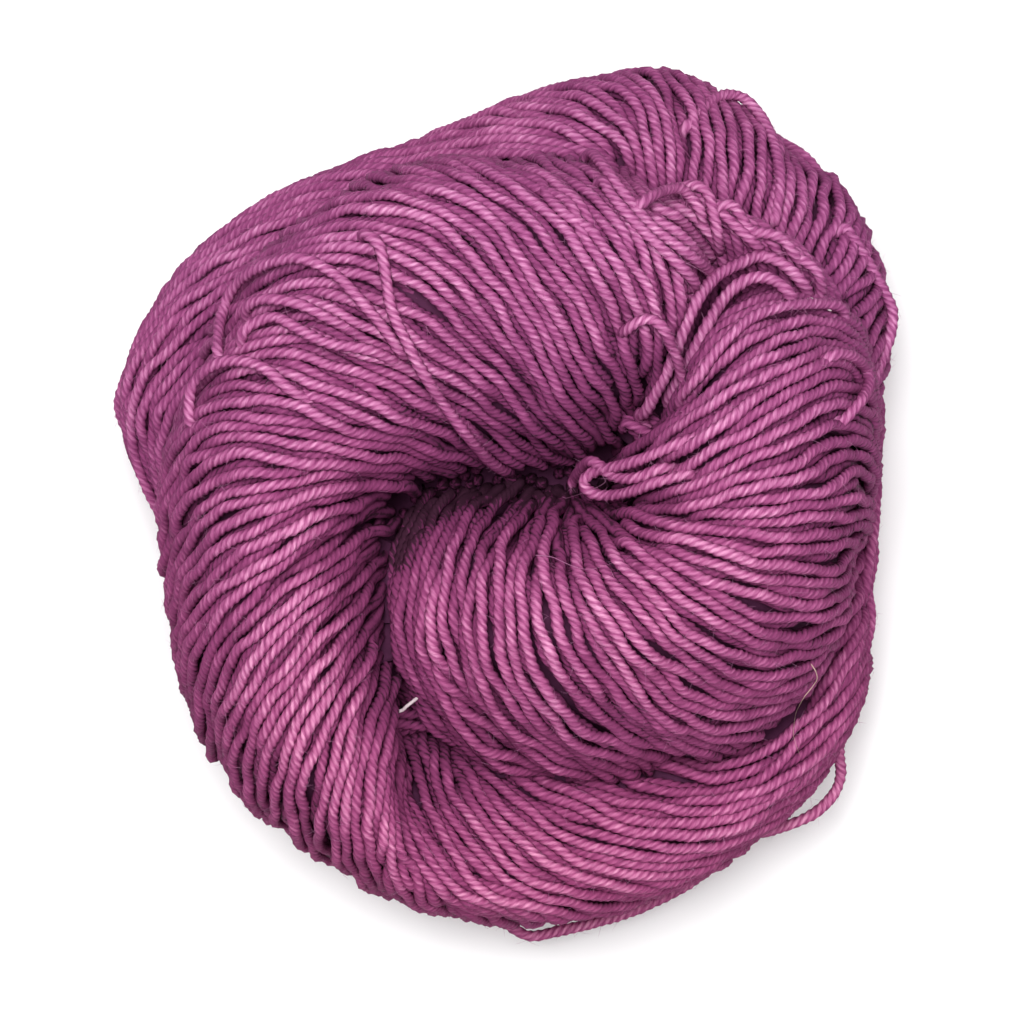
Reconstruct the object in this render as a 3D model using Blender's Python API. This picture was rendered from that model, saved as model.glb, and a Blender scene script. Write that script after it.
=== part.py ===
"""A hank of thick yarn twisted up and coiled into a round nest.

The hank lies on its coiled side. The base of the nest is a fat ring of turns, the
long swirl lobe climbs round on top of it, and the front lobe and a small middle
bundle lie over the end of the swirl. All of them dive into one dark centre fold.
The frame has its origin on the resting face, +Z up, and the fold runs along X.
"""
import math
from collections import namedtuple

import bmesh
import bpy
import numpy as np

MM = 0.001

# Driving sizes, in millimetres.
LOBE_BASE = 18.0        # lowest level that the upper lobes reach down to
GROOVE_DEPTH = 1.5      # dip between two neighbouring bunches of strands
RING_GROOVE_DEPTH = 1.3
RING_WIDEST = 25.0      # height at which the ring of turns is widest
RING_UNDER = 26.4       # how far the round of the ring would go down from there
RING_CENTRE = (0.0, 2.0)
CORE_RADIUS = 46.0      # the packed middle under the fold
CORE_TOP = 42.0
CORE_BOTTOM = -2.0
VOXEL = 1.25
FACES = 11400

# One row per bunch of strands, following it over the top of its lobe: where it
# comes out of the fold, two places along its back, the rim where it turns under,
# the height of its crown and the height of its rim.
Bunch = namedtuple("Bunch", "root near far rim crown level")

FRONT = (
    Bunch((-15.0, 1.0), (-21.5, -13.0), (-15.5, -34.5), (9.0, -46.5), 48, 38),
    Bunch((-14.5, 2.0), (-19.5, -13.0), (-13.0, -33.0), (13.0, -45.5), 64, 46),
    Bunch((-10.0, 3.0), (-13.5, -13.0), (-6.0, -30.0), (25.0, -43.5), 76, 48),
    Bunch((-4.0, 3.5), (-5.5, -13.0), (6.0, -29.0), (38.0, -41.0), 83, 49),
    Bunch((2.0, 3.5), (4.0, -12.0), (19.0, -25.5), (48.0, -33.0), 87, 49),
    Bunch((8.0, 3.0), (14.0, -10.0), (30.0, -20.5), (55.0, -23.5), 89, 48),
    Bunch((13.0, 2.0), (23.0, -6.0), (40.0, -12.0), (59.5, -13.5), 90, 48),
    Bunch((16.0, 2.5), (29.0, -1.0), (46.0, -3.0), (62.0, -1.5), 90, 48),
    Bunch((17.0, 4.0), (30.0, 6.0), (46.0, 9.5), (62.5, 12.5), 89, 48),
    Bunch((17.0, 6.0), (30.0, 13.5), (45.5, 20.5), (62.0, 22.0), 87, 48),
    Bunch((19.0, 9.5), (30.0, 20.5), (43.0, 29.0), (60.5, 29.0), 82, 49),
    Bunch((22.0, 12.0), (29.0, 24.5), (39.0, 33.5), (57.5, 34.0), 75, 50),
    Bunch((23.0, 14.0), (29.0, 27.0), (38.5, 36.0), (54.0, 37.0), 60, 46),
)

SWIRL = (
    Bunch((20.0, -34.0), (40.0, -37.0), (54.0, -28.0), (62.5, -10.0), 44, 28),
    Bunch((2.0, -34.0), (22.0, -44.5), (42.0, -43.5), (62.0, -24.0), 52, 28),
    Bunch((-8.0, -34.0), (9.0, -48.5), (34.0, -52.0), (57.5, -40.0), 55, 28),
    Bunch((-14.0, -35.0), (-2.0, -51.5), (20.0, -59.5), (43.0, -56.5), 56, 28),
    Bunch((-17.0, -35.0), (-9.0, -54.5), (5.5, -64.5), (25.0, -67.0), 56, 28),
    Bunch((-18.5, -34.0), (-14.5, -55.5), (-5.0, -66.0), (7.0, -71.5), 57, 29),
    Bunch((-19.0, -31.0), (-18.5, -48.5), (-15.5, -61.5), (-9.0, -70.0), 61, 31),
    Bunch((-19.5, -25.0), (-21.5, -41.5), (-22.5, -56.0), (-21.5, -66.5), 68, 33),
    Bunch((-20.0, -18.0), (-26.0, -32.5), (-32.0, -46.5), (-35.5, -59.0), 74, 35),
    Bunch((-20.5, -11.5), (-30.5, -22.5), (-41.0, -34.5), (-48.0, -49.0), 78, 37),
    Bunch((-20.0, -5.0), (-32.5, -11.0), (-45.5, -20.0), (-55.5, -33.0), 81, 39),
    Bunch((-19.0, 0.0), (-32.5, -1.5), (-46.5, -7.5), (-59.5, -18.0), 82, 42),
    Bunch((-17.0, 3.5), (-31.5, 5.0), (-46.5, 2.5), (-60.5, -5.5), 82, 45),
    Bunch((-12.0, 5.5), (-28.5, 11.5), (-45.5, 12.5), (-60.0, 5.0), 82, 48),
    Bunch((-7.0, 6.5), (-24.0, 18.5), (-42.0, 22.5), (-57.5, 14.5), 82, 50),
    Bunch((-2.0, 7.5), (-19.0, 25.0), (-37.0, 32.0), (-54.0, 22.5), 82, 51),
    Bunch((1.5, 8.0), (-13.0, 30.0), (-29.5, 41.5), (-50.0, 33.0), 82, 52),
    Bunch((4.0, 8.0), (-8.5, 33.0), (-20.5, 47.5), (-42.0, 44.5), 82, 52),
    Bunch((6.5, 8.0), (-3.0, 34.5), (-12.5, 51.0), (-30.0, 54.0), 83, 52),
    Bunch((9.0, 8.5), (3.0, 33.0), (-4.0, 51.0), (-17.5, 59.0), 84, 52),
    Bunch((11.5, 8.5), (10.0, 33.0), (5.5, 50.0), (-4.0, 60.5), 84, 52),
    Bunch((14.0, 9.0), (16.5, 33.0), (15.0, 49.0), (8.0, 60.5), 83, 52),
    Bunch((17.0, 10.5), (23.0, 31.5), (23.0, 46.0), (18.0, 58.0), 80, 52),
    Bunch((20.0, 13.0), (27.5, 28.5), (30.0, 40.5), (27.0, 52.5), 74, 51),
    Bunch((21.5, 14.0), (29.5, 27.5), (33.0, 38.0), (33.0, 48.0), 60, 46),
)

MIDDLE = (
    Bunch((14.0, 45.0), (23.0, 49.0), (29.5, 43.0), (31.0, 30.0), 56, 40),
    Bunch((17.0, 49.0), (26.0, 52.5), (31.5, 47.0), (34.0, 30.0), 62, 42),
    Bunch((22.0, 52.0), (31.0, 53.0), (36.5, 46.0), (39.0, 29.0), 63, 42),
    Bunch((27.0, 52.0), (37.0, 51.0), (42.5, 44.0), (46.0, 28.0), 62, 42),
    Bunch((32.0, 49.5), (43.0, 48.0), (49.0, 41.5), (53.0, 27.0), 60, 42),
    Bunch((37.0, 46.5), (48.5, 45.5), (54.0, 38.5), (57.5, 26.0), 53, 38),
)

# The ring of turns, one row per part of its way round.
Turn = namedtuple("Turn", "angle outer inner top")

RING = (
    Turn(0, 63.5, 12, 46),
    Turn(15, 67.0, 12, 48),
    Turn(30, 75.0, 12, 52),
    Turn(45, 79.0, 13, 54),
    Turn(60, 79.0, 14, 55),
    Turn(70, 79.5, 14, 55),
    Turn(80, 74.5, 14, 55),
    Turn(90, 69.5, 12, 55),
    Turn(105, 64.5, 12, 54),
    Turn(120, 66.0, 12, 53),
    Turn(135, 68.5, 12, 51),
    Turn(150, 71.0, 12, 49),
    Turn(165, 71.0, 12, 47),
    Turn(175, 66.0, 12, 44),
    Turn(185, 60.5, 12, 41),
    Turn(200, 60.0, 12, 38),
    Turn(220, 64.5, 12, 38),
    Turn(240, 67.5, 12, 40),
    Turn(255, 71.0, 12, 42),
    Turn(270, 71.5, 12, 43),
    Turn(285, 71.5, 12, 44),
    Turn(300, 71.5, 12, 44),
    Turn(315, 70.5, 12, 44),
    Turn(330, 69.5, 12, 44),
    Turn(345, 65.0, 12, 45),
)


def clear_objects():
    """Take every object out of the file."""
    for thing in list(bpy.data.objects):
        bpy.data.objects.remove(thing, do_unlink=True)


def spline(rows, at, closed=False):
    """Rows of numbers read smoothly at the fractional places `at`."""
    count = len(rows)
    start = np.floor(at).astype(int)
    if not closed:
        start = np.clip(start, 0, count - 2)
    part = (at - start)[:, None]
    if closed:
        before, here, after, beyond = (rows[(start + step) % count] for step in (-1, 0, 1, 2))
    else:
        here = rows[start]
        after = rows[start + 1]
        before = np.where((start == 0)[:, None], 2 * here - after, rows[np.maximum(start - 1, 0)])
        last = (start == count - 2)[:, None]
        beyond = np.where(last, 2 * after - here, rows[np.minimum(start + 2, count - 1)])
    linear = after - before
    square = 2 * before - 5 * here + 4 * after - beyond
    cubic = beyond - before + 3 * (here - after)
    return here + 0.5 * part * (linear + part * (square + part * cubic))


def along_back(rows, share):
    """Plan position at `share` (0 root, 1 rim) of each bunch row."""
    weights = (
        -4.5 * (share - 1 / 3) * (share - 2 / 3) * (share - 1),
        13.5 * share * (share - 2 / 3) * (share - 1),
        -13.5 * share * (share - 1 / 3) * (share - 1),
        4.5 * share * (share - 1 / 3) * (share - 2 / 3),
    )
    return sum(weight[:, None] * rows[:, 2 * k:2 * k + 2] for k, weight in enumerate(weights))


def lobe_points(table, place, turn):
    """Points of a lobe: `place` across its bunches, `turn` round each of them."""
    flat = np.array([[*b.root, *b.near, *b.far, *b.rim, b.crown, b.level] for b in table], float)
    rows = spline(flat, place)
    plan = along_back(rows, (1 - np.cos(turn)) / 2)
    crown = rows[:, 8]
    level = rows[:, 9]
    lift = np.where(np.sin(turn) > 0, crown - level, level - LOBE_BASE)
    return np.column_stack([plan, level + lift * np.sin(turn)])


def push_in(grid, depth):
    """Move a closed grid of points inward by `depth`, along its own normals."""
    across = np.gradient(grid, axis=0)
    around = np.roll(grid, -1, axis=1) - np.roll(grid, 1, axis=1)
    normal = np.cross(across, around)
    size = np.linalg.norm(normal, axis=2, keepdims=True)
    normal = normal / np.maximum(size, 1e-9)
    middle = grid.mean(axis=1, keepdims=True)
    facing = np.sign(np.sum((grid - middle) * normal, axis=(0, 1)).sum())
    return grid - normal * facing * depth[..., None]


def grid_mesh(name, grid, closed):
    """A closed mesh from a grid of loops; open ends are capped with rungs."""
    loops, steps = grid.shape[:2]
    verts = (grid.reshape(-1, 3) * MM).tolist()
    faces = []
    for i in range(loops if closed else loops - 1):
        for j in range(steps):
            a = i * steps + j
            b = i * steps + (j + 1) % steps
            c = ((i + 1) % loops) * steps + (j + 1) % steps
            d = ((i + 1) % loops) * steps + j
            faces.append((a, b, c, d))
    if not closed:
        for first in (0, (loops - 1) * steps):
            for j in range(steps // 2):
                rung = (j, j + 1, steps - j - 1, (steps - j) % steps)
                faces.append(tuple(dict.fromkeys(first + step for step in rung)))
    mesh = bpy.data.meshes.new(name)
    mesh.from_pydata(verts, [], faces)
    shape = bmesh.new()
    shape.from_mesh(mesh)
    bmesh.ops.recalc_face_normals(shape, faces=shape.faces)
    shape.to_mesh(mesh)
    shape.free()
    return mesh


def lobe_mesh(name, table, per_bunch=10, steps=72):
    """One lobe, lofted through its bunches with a dip between each two."""
    count = (len(table) - 1) * per_bunch + 1
    place = np.repeat(np.linspace(0, len(table) - 1, count), steps)
    turn = np.tile(np.linspace(0, 2 * math.pi, steps, endpoint=False), count)
    grid = lobe_points(table, place, turn).reshape(count, steps, 3)
    dip = (1 - np.abs(np.sin(math.pi * place))) ** 2
    edge = np.minimum(place, len(table) - 1 - place)
    fade = np.clip(edge / 0.8, 0, 1) * np.clip(np.sin(turn) * 2.5 + 0.4, 0, 1)
    depth = (GROOVE_DEPTH * dip * fade).reshape(count, steps)
    return grid_mesh(name, push_in(grid, depth), closed=False)


def ring_mesh(name, loops=144, steps=84):
    """The ring of turns, with dips that wind slowly round it."""
    angles = np.array([turn.angle for turn in RING], float)
    sizes = np.array([[turn.outer, turn.inner, turn.top] for turn in RING], float)
    round_angle = np.linspace(0, 360, loops, endpoint=False)
    wrapped = np.append(angles, 360.0)
    place = np.interp(round_angle, wrapped, np.arange(len(RING) + 1))
    rows = spline(sizes, place, closed=True)
    turn = np.linspace(0, 2 * math.pi, steps, endpoint=False)
    middle = (rows[:, 0] + rows[:, 1])[:, None] / 2
    half = (rows[:, 0] - rows[:, 1])[:, None] / 2
    side = np.cos(turn)[None, :]
    rise = np.sin(turn)[None, :]
    round_off = np.where(rise > 0, 0.85, 1.0)
    radius = middle + half * np.sign(side) * np.abs(side) ** round_off
    lift = np.where(rise > 0, rows[:, 2:3] - RING_WIDEST, RING_UNDER)
    height = RING_WIDEST + lift * np.sign(rise) * np.abs(rise) ** round_off
    angle = np.radians(round_angle)[:, None]
    grid = np.stack([
        RING_CENTRE[0] + radius * np.cos(angle),
        RING_CENTRE[1] + radius * np.sin(angle),
        height + 0 * radius,
    ], axis=2)
    wind = 10 * turn[None, :] - 3 * angle
    dip = (1 - np.abs(np.sin(wind))) ** 2
    return grid_mesh(name, push_in(grid, RING_GROOVE_DEPTH * dip), closed=True)


def core_mesh(name, loops=24, steps=72):
    """The packed middle: a rounded drum under the fold."""
    slope = np.linspace(-math.pi / 2 + 0.06, math.pi / 2 - 0.06, loops)
    turn = np.linspace(0, 2 * math.pi, steps, endpoint=False)
    radius = CORE_RADIUS * np.cos(slope)[:, None] ** np.where(slope > 0, 0.35, 0.7)[:, None]
    half = (CORE_TOP - CORE_BOTTOM) / 2
    height = CORE_BOTTOM + half + half * np.sign(slope) * np.abs(np.sin(slope)) ** 0.9
    grid = np.stack([
        radius * np.cos(turn)[None, :],
        RING_CENTRE[1] + radius * np.sin(turn)[None, :],
        height[:, None] + 0 * radius * turn[None, :],
    ], axis=2)
    return grid_mesh(name, grid, closed=False)


def flatten_base(shape):
    """Cut the mesh level at Z = 0, where it rests, and close it."""
    everything = shape.verts[:] + shape.edges[:] + shape.faces[:]
    bmesh.ops.bisect_plane(
        shape, geom=everything, dist=1e-7,
        plane_co=(0, 0, 0), plane_no=(0, 0, -1), clear_outer=True,
    )
    rim = [edge for edge in shape.edges if len(edge.link_faces) == 1]
    bmesh.ops.triangle_fill(shape, edges=rim, use_beauty=True)
    bmesh.ops.recalc_face_normals(shape, faces=shape.faces)


def keep_outer_skin(shape):
    """Drop every loose shell but the largest, so that nothing is sealed inside."""
    unseen = set(shape.verts)
    shells = []
    while unseen:
        first = next(iter(unseen))
        found = {first}
        edge_of_search = [first]
        while edge_of_search:
            vert = edge_of_search.pop()
            for link in vert.link_edges:
                other = link.other_vert(vert)
                if other not in found:
                    found.add(other)
                    edge_of_search.append(other)
        shells.append(found)
        unseen -= found
    largest = max(shells, key=len)
    spare = [vert for found in shells if found is not largest for vert in found]
    bmesh.ops.delete(shape, geom=spare, context="VERTS")


def apply_modifiers(thing):
    """Write the modifiers of an object into its mesh."""
    bpy.context.view_layer.update()
    graph = bpy.context.evaluated_depsgraph_get()
    baked = bpy.data.meshes.new_from_object(thing.evaluated_get(graph))
    thing.modifiers.clear()
    thing.data = baked


def yarn_material():
    """Plum wool."""
    material = bpy.data.materials.new("plum_wool")
    material.use_nodes = True
    shader = material.node_tree.nodes["Principled BSDF"]
    shader.inputs["Base Color"].default_value = (0.25, 0.065, 0.155, 1)
    shader.inputs["Roughness"].default_value = 0.9
    return material


def build_hank():
    """Join ring, core and lobes into one skin, level its base and lighten it."""
    joined = bmesh.new()
    parts = (
        ring_mesh("ring"),
        core_mesh("core"),
        lobe_mesh("swirl", SWIRL),
        lobe_mesh("front", FRONT),
        lobe_mesh("middle", MIDDLE),
    )
    for mesh in parts:
        joined.from_mesh(mesh)
    mesh = bpy.data.meshes.new("hank")
    joined.to_mesh(mesh)
    joined.free()
    hank = bpy.data.objects.new("hank", mesh)
    bpy.context.scene.collection.objects.link(hank)

    skin = hank.modifiers.new("skin", "REMESH")
    skin.mode = "VOXEL"
    skin.voxel_size = VOXEL * MM
    soften = hank.modifiers.new("soften", "SMOOTH")
    soften.factor = 0.5
    soften.iterations = 2
    apply_modifiers(hank)

    shape = bmesh.new()
    shape.from_mesh(hank.data)
    keep_outer_skin(shape)
    flatten_base(shape)
    bmesh.ops.triangulate(shape, faces=shape.faces)
    count = len(shape.faces)
    shape.to_mesh(hank.data)
    shape.free()

    lighten = hank.modifiers.new("lighten", "DECIMATE")
    lighten.ratio = FACES / count
    lighten.use_collapse_triangulate = True
    apply_modifiers(hank)

    shape = bmesh.new()
    shape.from_mesh(hank.data)
    for vert in shape.verts:
        if vert.co.z < 0.15 * MM:
            vert.co.z = 0.0
    bmesh.ops.recalc_face_normals(shape, faces=shape.faces)
    shape.to_mesh(hank.data)
    shape.free()
    hank.data.polygons.foreach_set("use_smooth", [True] * len(hank.data.polygons))
    hank.data.materials.clear()
    hank.data.materials.append(yarn_material())
    hank.data.update()


def main():
    clear_objects()
    build_hank()


main()
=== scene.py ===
"""A hank of plied wool, coiled into a nest, dressed strand by strand.

Every lobe of the solid hank gets its own turns of yarn. They are laid along the
lobe, pushed apart until they lie side by side and on each other, and kept only
where they can be seen. Loose turns, a thread and hairs are laid over them one by
one, and a packed core, painted dark as the shade between turns, closes the gaps.
All working lengths are millimetres; meshes are written in metres.
"""

import logging
import math
from dataclasses import dataclass, replace
from enum import Enum
from typing import Callable, Iterable, Optional, Sequence

import bmesh
import bpy
import numpy as np
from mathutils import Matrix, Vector
from mathutils.bvhtree import BVHTree


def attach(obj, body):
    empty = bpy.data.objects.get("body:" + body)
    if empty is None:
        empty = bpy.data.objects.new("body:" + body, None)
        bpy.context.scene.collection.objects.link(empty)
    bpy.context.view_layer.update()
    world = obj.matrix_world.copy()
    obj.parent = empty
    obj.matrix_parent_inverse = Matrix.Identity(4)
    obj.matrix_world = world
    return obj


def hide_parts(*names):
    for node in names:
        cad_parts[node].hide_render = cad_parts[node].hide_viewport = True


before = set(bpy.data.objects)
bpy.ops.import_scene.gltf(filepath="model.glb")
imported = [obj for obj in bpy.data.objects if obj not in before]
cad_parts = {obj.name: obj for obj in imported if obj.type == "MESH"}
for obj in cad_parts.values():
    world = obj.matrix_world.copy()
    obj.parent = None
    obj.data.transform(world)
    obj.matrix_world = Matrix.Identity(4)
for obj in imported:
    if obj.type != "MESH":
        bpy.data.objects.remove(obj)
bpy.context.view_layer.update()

MM = 0.001
NODE = "hank"
log = logging.getLogger("hank")

Array = np.ndarray
Pair = tuple[float, float]
Colour = tuple[float, float, float, float]
Socket = bpy.types.NodeSocket
Sockets = bpy.types.NodeOutputs


class Twist(Enum):
    """Which way the plies of a yarn turn."""

    S = -1
    Z = 1


class Detail(Enum):
    """How far apart the rings of a turn's mesh are, in mm, by where it lies."""

    NEAR = 0.75
    SIDE = 1.1
    UNDER = 1.5


@dataclass(frozen=True)
class YarnSize:
    """The sizes of the yarn itself."""

    radius: float = 1.06
    plies: int = 4
    pitch: float = 5.8
    ply_depth: float = 0.2
    twist: Twist = Twist.S


YARN = YarnSize()


@dataclass(frozen=True)
class Bunch:
    """A bunch of strands over the top of a lobe, from the fold to the rim."""

    root: Pair
    near: Pair
    far: Pair
    rim: Pair
    crown: float
    level: float


@dataclass(frozen=True)
class Lean:
    """How far turns lean off the bunch line toward higher places, in degrees, on their way over."""

    place: float
    near: float
    middle: float
    far: float
    edge: float


@dataclass(frozen=True)
class Turn:
    """One part of the way round the ring: its angle, reach, hole and top."""

    angle: float
    outer: float
    inner: float
    top: float


@dataclass(frozen=True)
class RingLean:
    """How far the ring's turns lean at an angle round it, in degrees round per degree over."""

    angle: float
    lean: float


@dataclass(frozen=True)
class Share:
    """A piece that takes the turns of a family up to a place across it."""

    piece: str
    stop: float


FRONT = (
    Bunch((-15.0, 1.0), (-21.5, -13.0), (-15.5, -34.5), (9.0, -46.5), 48, 38),
    Bunch((-14.5, 2.0), (-19.5, -13.0), (-13.0, -33.0), (13.0, -45.5), 64, 46),
    Bunch((-10.0, 3.0), (-13.5, -13.0), (-6.0, -30.0), (25.0, -43.5), 76, 48),
    Bunch((-4.0, 3.5), (-5.5, -13.0), (6.0, -29.0), (38.0, -41.0), 83, 49),
    Bunch((2.0, 3.5), (4.0, -12.0), (19.0, -25.5), (48.0, -33.0), 87, 49),
    Bunch((8.0, 3.0), (14.0, -10.0), (30.0, -20.5), (55.0, -23.5), 89, 48),
    Bunch((13.0, 2.0), (23.0, -6.0), (40.0, -12.0), (57.2, -13.5), 90, 48),
    Bunch((16.0, 2.5), (29.0, -1.0), (46.0, -3.0), (61.2, -1.5), 90, 48),
    Bunch((17.0, 4.0), (30.0, 6.0), (46.0, 9.5), (62.5, 12.5), 89, 48),
    Bunch((17.0, 6.0), (30.0, 13.5), (45.5, 20.5), (62.0, 22.0), 87, 48),
    Bunch((19.0, 9.5), (30.0, 20.5), (43.0, 29.0), (60.5, 29.0), 82, 49),
    Bunch((22.0, 12.0), (29.0, 24.5), (39.0, 33.5), (57.5, 34.0), 75, 50),
    Bunch((23.0, 14.0), (29.0, 27.0), (38.5, 36.0), (54.0, 37.0), 60, 46),
)

SWIRL = (
    Bunch((20.0, -34.0), (40.0, -37.0), (54.0, -28.0), (58.6, -10.0), 44, 28),
    Bunch((2.0, -34.0), (22.0, -44.5), (42.0, -43.5), (62.0, -24.0), 52, 28),
    Bunch((-8.0, -34.0), (9.0, -48.5), (34.0, -52.0), (57.5, -40.0), 55, 28),
    Bunch((-15.5, -32.0), (-3.0, -51.0), (20.0, -59.5), (43.0, -56.5), 56, 28),
    Bunch((-17.5, -30.5), (-9.5, -53.5), (5.5, -64.5), (25.0, -67.0), 56, 28),
    Bunch((-18.5, -29.5), (-14.8, -53.5), (-5.0, -66.0), (7.0, -71.5), 57, 29),
    Bunch((-19.0, -31.0), (-18.5, -48.5), (-15.5, -61.5), (-9.0, -70.0), 61, 31),
    Bunch((-19.5, -25.0), (-21.5, -41.5), (-22.5, -56.0), (-21.5, -66.5), 68, 33),
    Bunch((-20.0, -18.0), (-26.0, -32.5), (-32.0, -46.5), (-34.8, -57.7), 74, 35),
    Bunch((-20.5, -11.5), (-30.5, -22.5), (-41.0, -34.5), (-46.9, -47.9), 78, 37),
    Bunch((-20.0, -5.0), (-32.5, -11.0), (-45.5, -20.0), (-55.5, -33.0), 81, 39),
    Bunch((-19.0, 0.0), (-32.5, -1.5), (-46.5, -7.5), (-58.8, -18.0), 82, 42),
    Bunch((-17.0, 3.5), (-31.5, 5.0), (-46.5, 2.5), (-59.4, -5.5), 82, 45),
    Bunch((-12.0, 5.5), (-28.5, 11.5), (-45.5, 12.5), (-60.0, 5.0), 82, 48),
    Bunch((-7.0, 6.5), (-24.0, 18.5), (-42.0, 22.5), (-57.5, 14.5), 82, 50),
    Bunch((-2.0, 7.5), (-19.0, 25.0), (-37.0, 32.0), (-54.0, 22.5), 82, 51),
    Bunch((1.5, 8.0), (-13.0, 30.0), (-29.5, 41.5), (-50.0, 33.0), 82, 52),
    Bunch((4.0, 8.0), (-8.5, 33.0), (-20.5, 47.5), (-42.0, 44.5), 82, 52),
    Bunch((6.5, 8.0), (-3.0, 34.5), (-12.5, 51.0), (-30.0, 54.0), 83, 52),
    Bunch((9.0, 8.5), (3.0, 33.0), (-4.0, 51.0), (-17.5, 59.0), 84, 52),
    Bunch((11.5, 8.5), (10.0, 33.0), (5.5, 50.0), (-4.0, 60.5), 84, 52),
    Bunch((14.0, 9.0), (16.5, 33.0), (15.0, 49.0), (8.0, 60.5), 83, 52),
    Bunch((17.0, 10.5), (23.0, 31.5), (23.0, 46.0), (18.0, 58.0), 80, 52),
    Bunch((20.0, 13.0), (27.5, 28.5), (30.0, 40.5), (27.0, 52.5), 74, 51),
    Bunch((21.5, 14.0), (29.5, 27.5), (33.0, 38.0), (33.0, 48.0), 60, 46),
)

MIDDLE = (
    Bunch((14.0, 45.0), (23.0, 49.0), (29.5, 43.0), (31.0, 30.0), 56, 40),
    Bunch((17.0, 49.0), (26.0, 52.5), (31.5, 47.0), (34.0, 30.0), 62, 42),
    Bunch((22.0, 52.0), (31.0, 53.0), (36.5, 46.0), (39.0, 29.0), 63, 42),
    Bunch((27.0, 52.0), (37.0, 51.0), (42.5, 44.0), (46.0, 28.0), 62, 42),
    Bunch((32.0, 49.5), (43.0, 48.0), (49.0, 41.5), (53.0, 27.0), 60, 42),
    Bunch((37.0, 46.5), (48.5, 45.5), (54.0, 38.5), (57.5, 26.0), 53, 38),
)

RING = (
    Turn(0, 62.2, 12, 46),
    Turn(15, 67.0, 12, 48),
    Turn(30, 75.0, 12, 52),
    Turn(45, 79.0, 13, 54),
    Turn(60, 79.0, 14, 55),
    Turn(70, 79.5, 14, 55),
    Turn(80, 74.5, 14, 55),
    Turn(90, 69.5, 12, 55),
    Turn(105, 64.5, 12, 54),
    Turn(120, 66.0, 12, 53),
    Turn(135, 68.5, 12, 51),
    Turn(150, 71.0, 12, 49),
    Turn(165, 71.0, 12, 47),
    Turn(175, 66.0, 12, 44),
    Turn(185, 59.8, 12, 41),
    Turn(200, 60.0, 12, 38),
    Turn(220, 64.5, 12, 38),
    Turn(240, 66.4, 12, 40),
    Turn(255, 71.0, 12, 42),
    Turn(270, 71.5, 12, 43),
    Turn(285, 70.8, 12, 44),
    Turn(300, 70.2, 12, 44),
    Turn(315, 70.5, 12, 44),
    Turn(330, 69.5, 12, 44),
    Turn(345, 61.8, 12, 45),
)

FRONT_LEAN = (
    Lean(0.00, -16, -22, -25, -10),
    Lean(0.08, -14, -18, -20, -8),
    Lean(0.17, -10, -16, -24, -6),
    Lean(0.25, -15, -26, -24, 0),
    Lean(0.33, -18, -26, -20, 30),
    Lean(0.45, -10, -14, -6, 35),
    Lean(0.54, 8, 3, 4, 0),
    Lean(0.67, 8, 8, 10, -22),
    Lean(0.83, 0, 8, 6, -32),
    Lean(1.00, 0, 0, 0, 0),
)

SWIRL_LEAN = (
    Lean(0.00, 0, 0, 0, 0),
    Lean(0.08, 0, 5, 10, -20),
    Lean(0.13, 18, 20, 0, -8),
    Lean(0.20, -8, 0, 0, -8),
    Lean(0.29, 0, 2, -5, -12),
    Lean(0.40, -6, -6, -6, -16),
    Lean(0.47, -6, -3, -6, -26),
    Lean(0.52, -6, 8, -4, -38),
    Lean(0.56, -8, 12, 4, -30),
    Lean(0.64, -12, -2, -2, -5),
    Lean(0.72, -20, -20, -8, 5),
    Lean(0.80, -16, -26, -20, 0),
    Lean(0.88, -28, -32, -20, 0),
    Lean(0.95, -22, -28, -26, -12),
    Lean(1.08, -14, -30, -30, -15),
)

RING_LEAN = (
    RingLean(0, 0.15),
    RingLean(20, 0.05),
    RingLean(45, 0.15),
    RingLean(68, 0.17),
    RingLean(80, 0.22),
    RingLean(90, 0.3),
    RingLean(105, 0.45),
    RingLean(120, 0.65),
    RingLean(150, 0.85),
    RingLean(180, 0.75),
    RingLean(230, 0.6),
    RingLean(300, 0.5),
    RingLean(340, 0.3),
    RingLean(360, 0.15),
)

SWIRL_SHARES = (
    Share("swirl_low_turns", 0.3),
    Share("swirl_left_turns", 0.6),
    Share("swirl_top_turns", math.inf),
)

RING_SHARES = (
    Share("ring_right_turns", 0.25),
    Share("ring_back_turns", 0.5),
    Share("ring_left_turns", 0.75),
    Share("ring_front_turns", math.inf),
)


def smooth(value: Array) -> Array:
    """An S-shaped step from 0 to 1 over 0 to 1."""
    held = np.clip(value, 0.0, 1.0)
    return held * held * (3.0 - 2.0 * held)


def unit(vectors: Array) -> Array:
    """Vectors along the last axis, brought to length one."""
    size = np.linalg.norm(vectors, axis=-1, keepdims=True)
    return vectors / np.maximum(size, 1e-9)


def running(steps: Array) -> Array:
    """The way covered before the first of some steps and after each."""
    return np.concatenate([[0.0], np.cumsum(steps)])


def averaged(values: Array, reach: int) -> Array:
    """Each value averaged with `reach` neighbours on either side, the end values repeated."""
    width = 2 * reach + 1
    return np.convolve(np.pad(values, reach, "edge"), np.ones(width) / width, "valid")


def square_to(along: Array, steep: float = 0.8) -> Array:
    """A direction square to each run: level, or tilted where the run is steep."""
    guide = np.where(np.abs(along[:, 2:3]) > steep, [[1.0, 0.0, 0.0]], [[0.0, 0.0, 1.0]])
    return unit(np.cross(along, guide))


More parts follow.
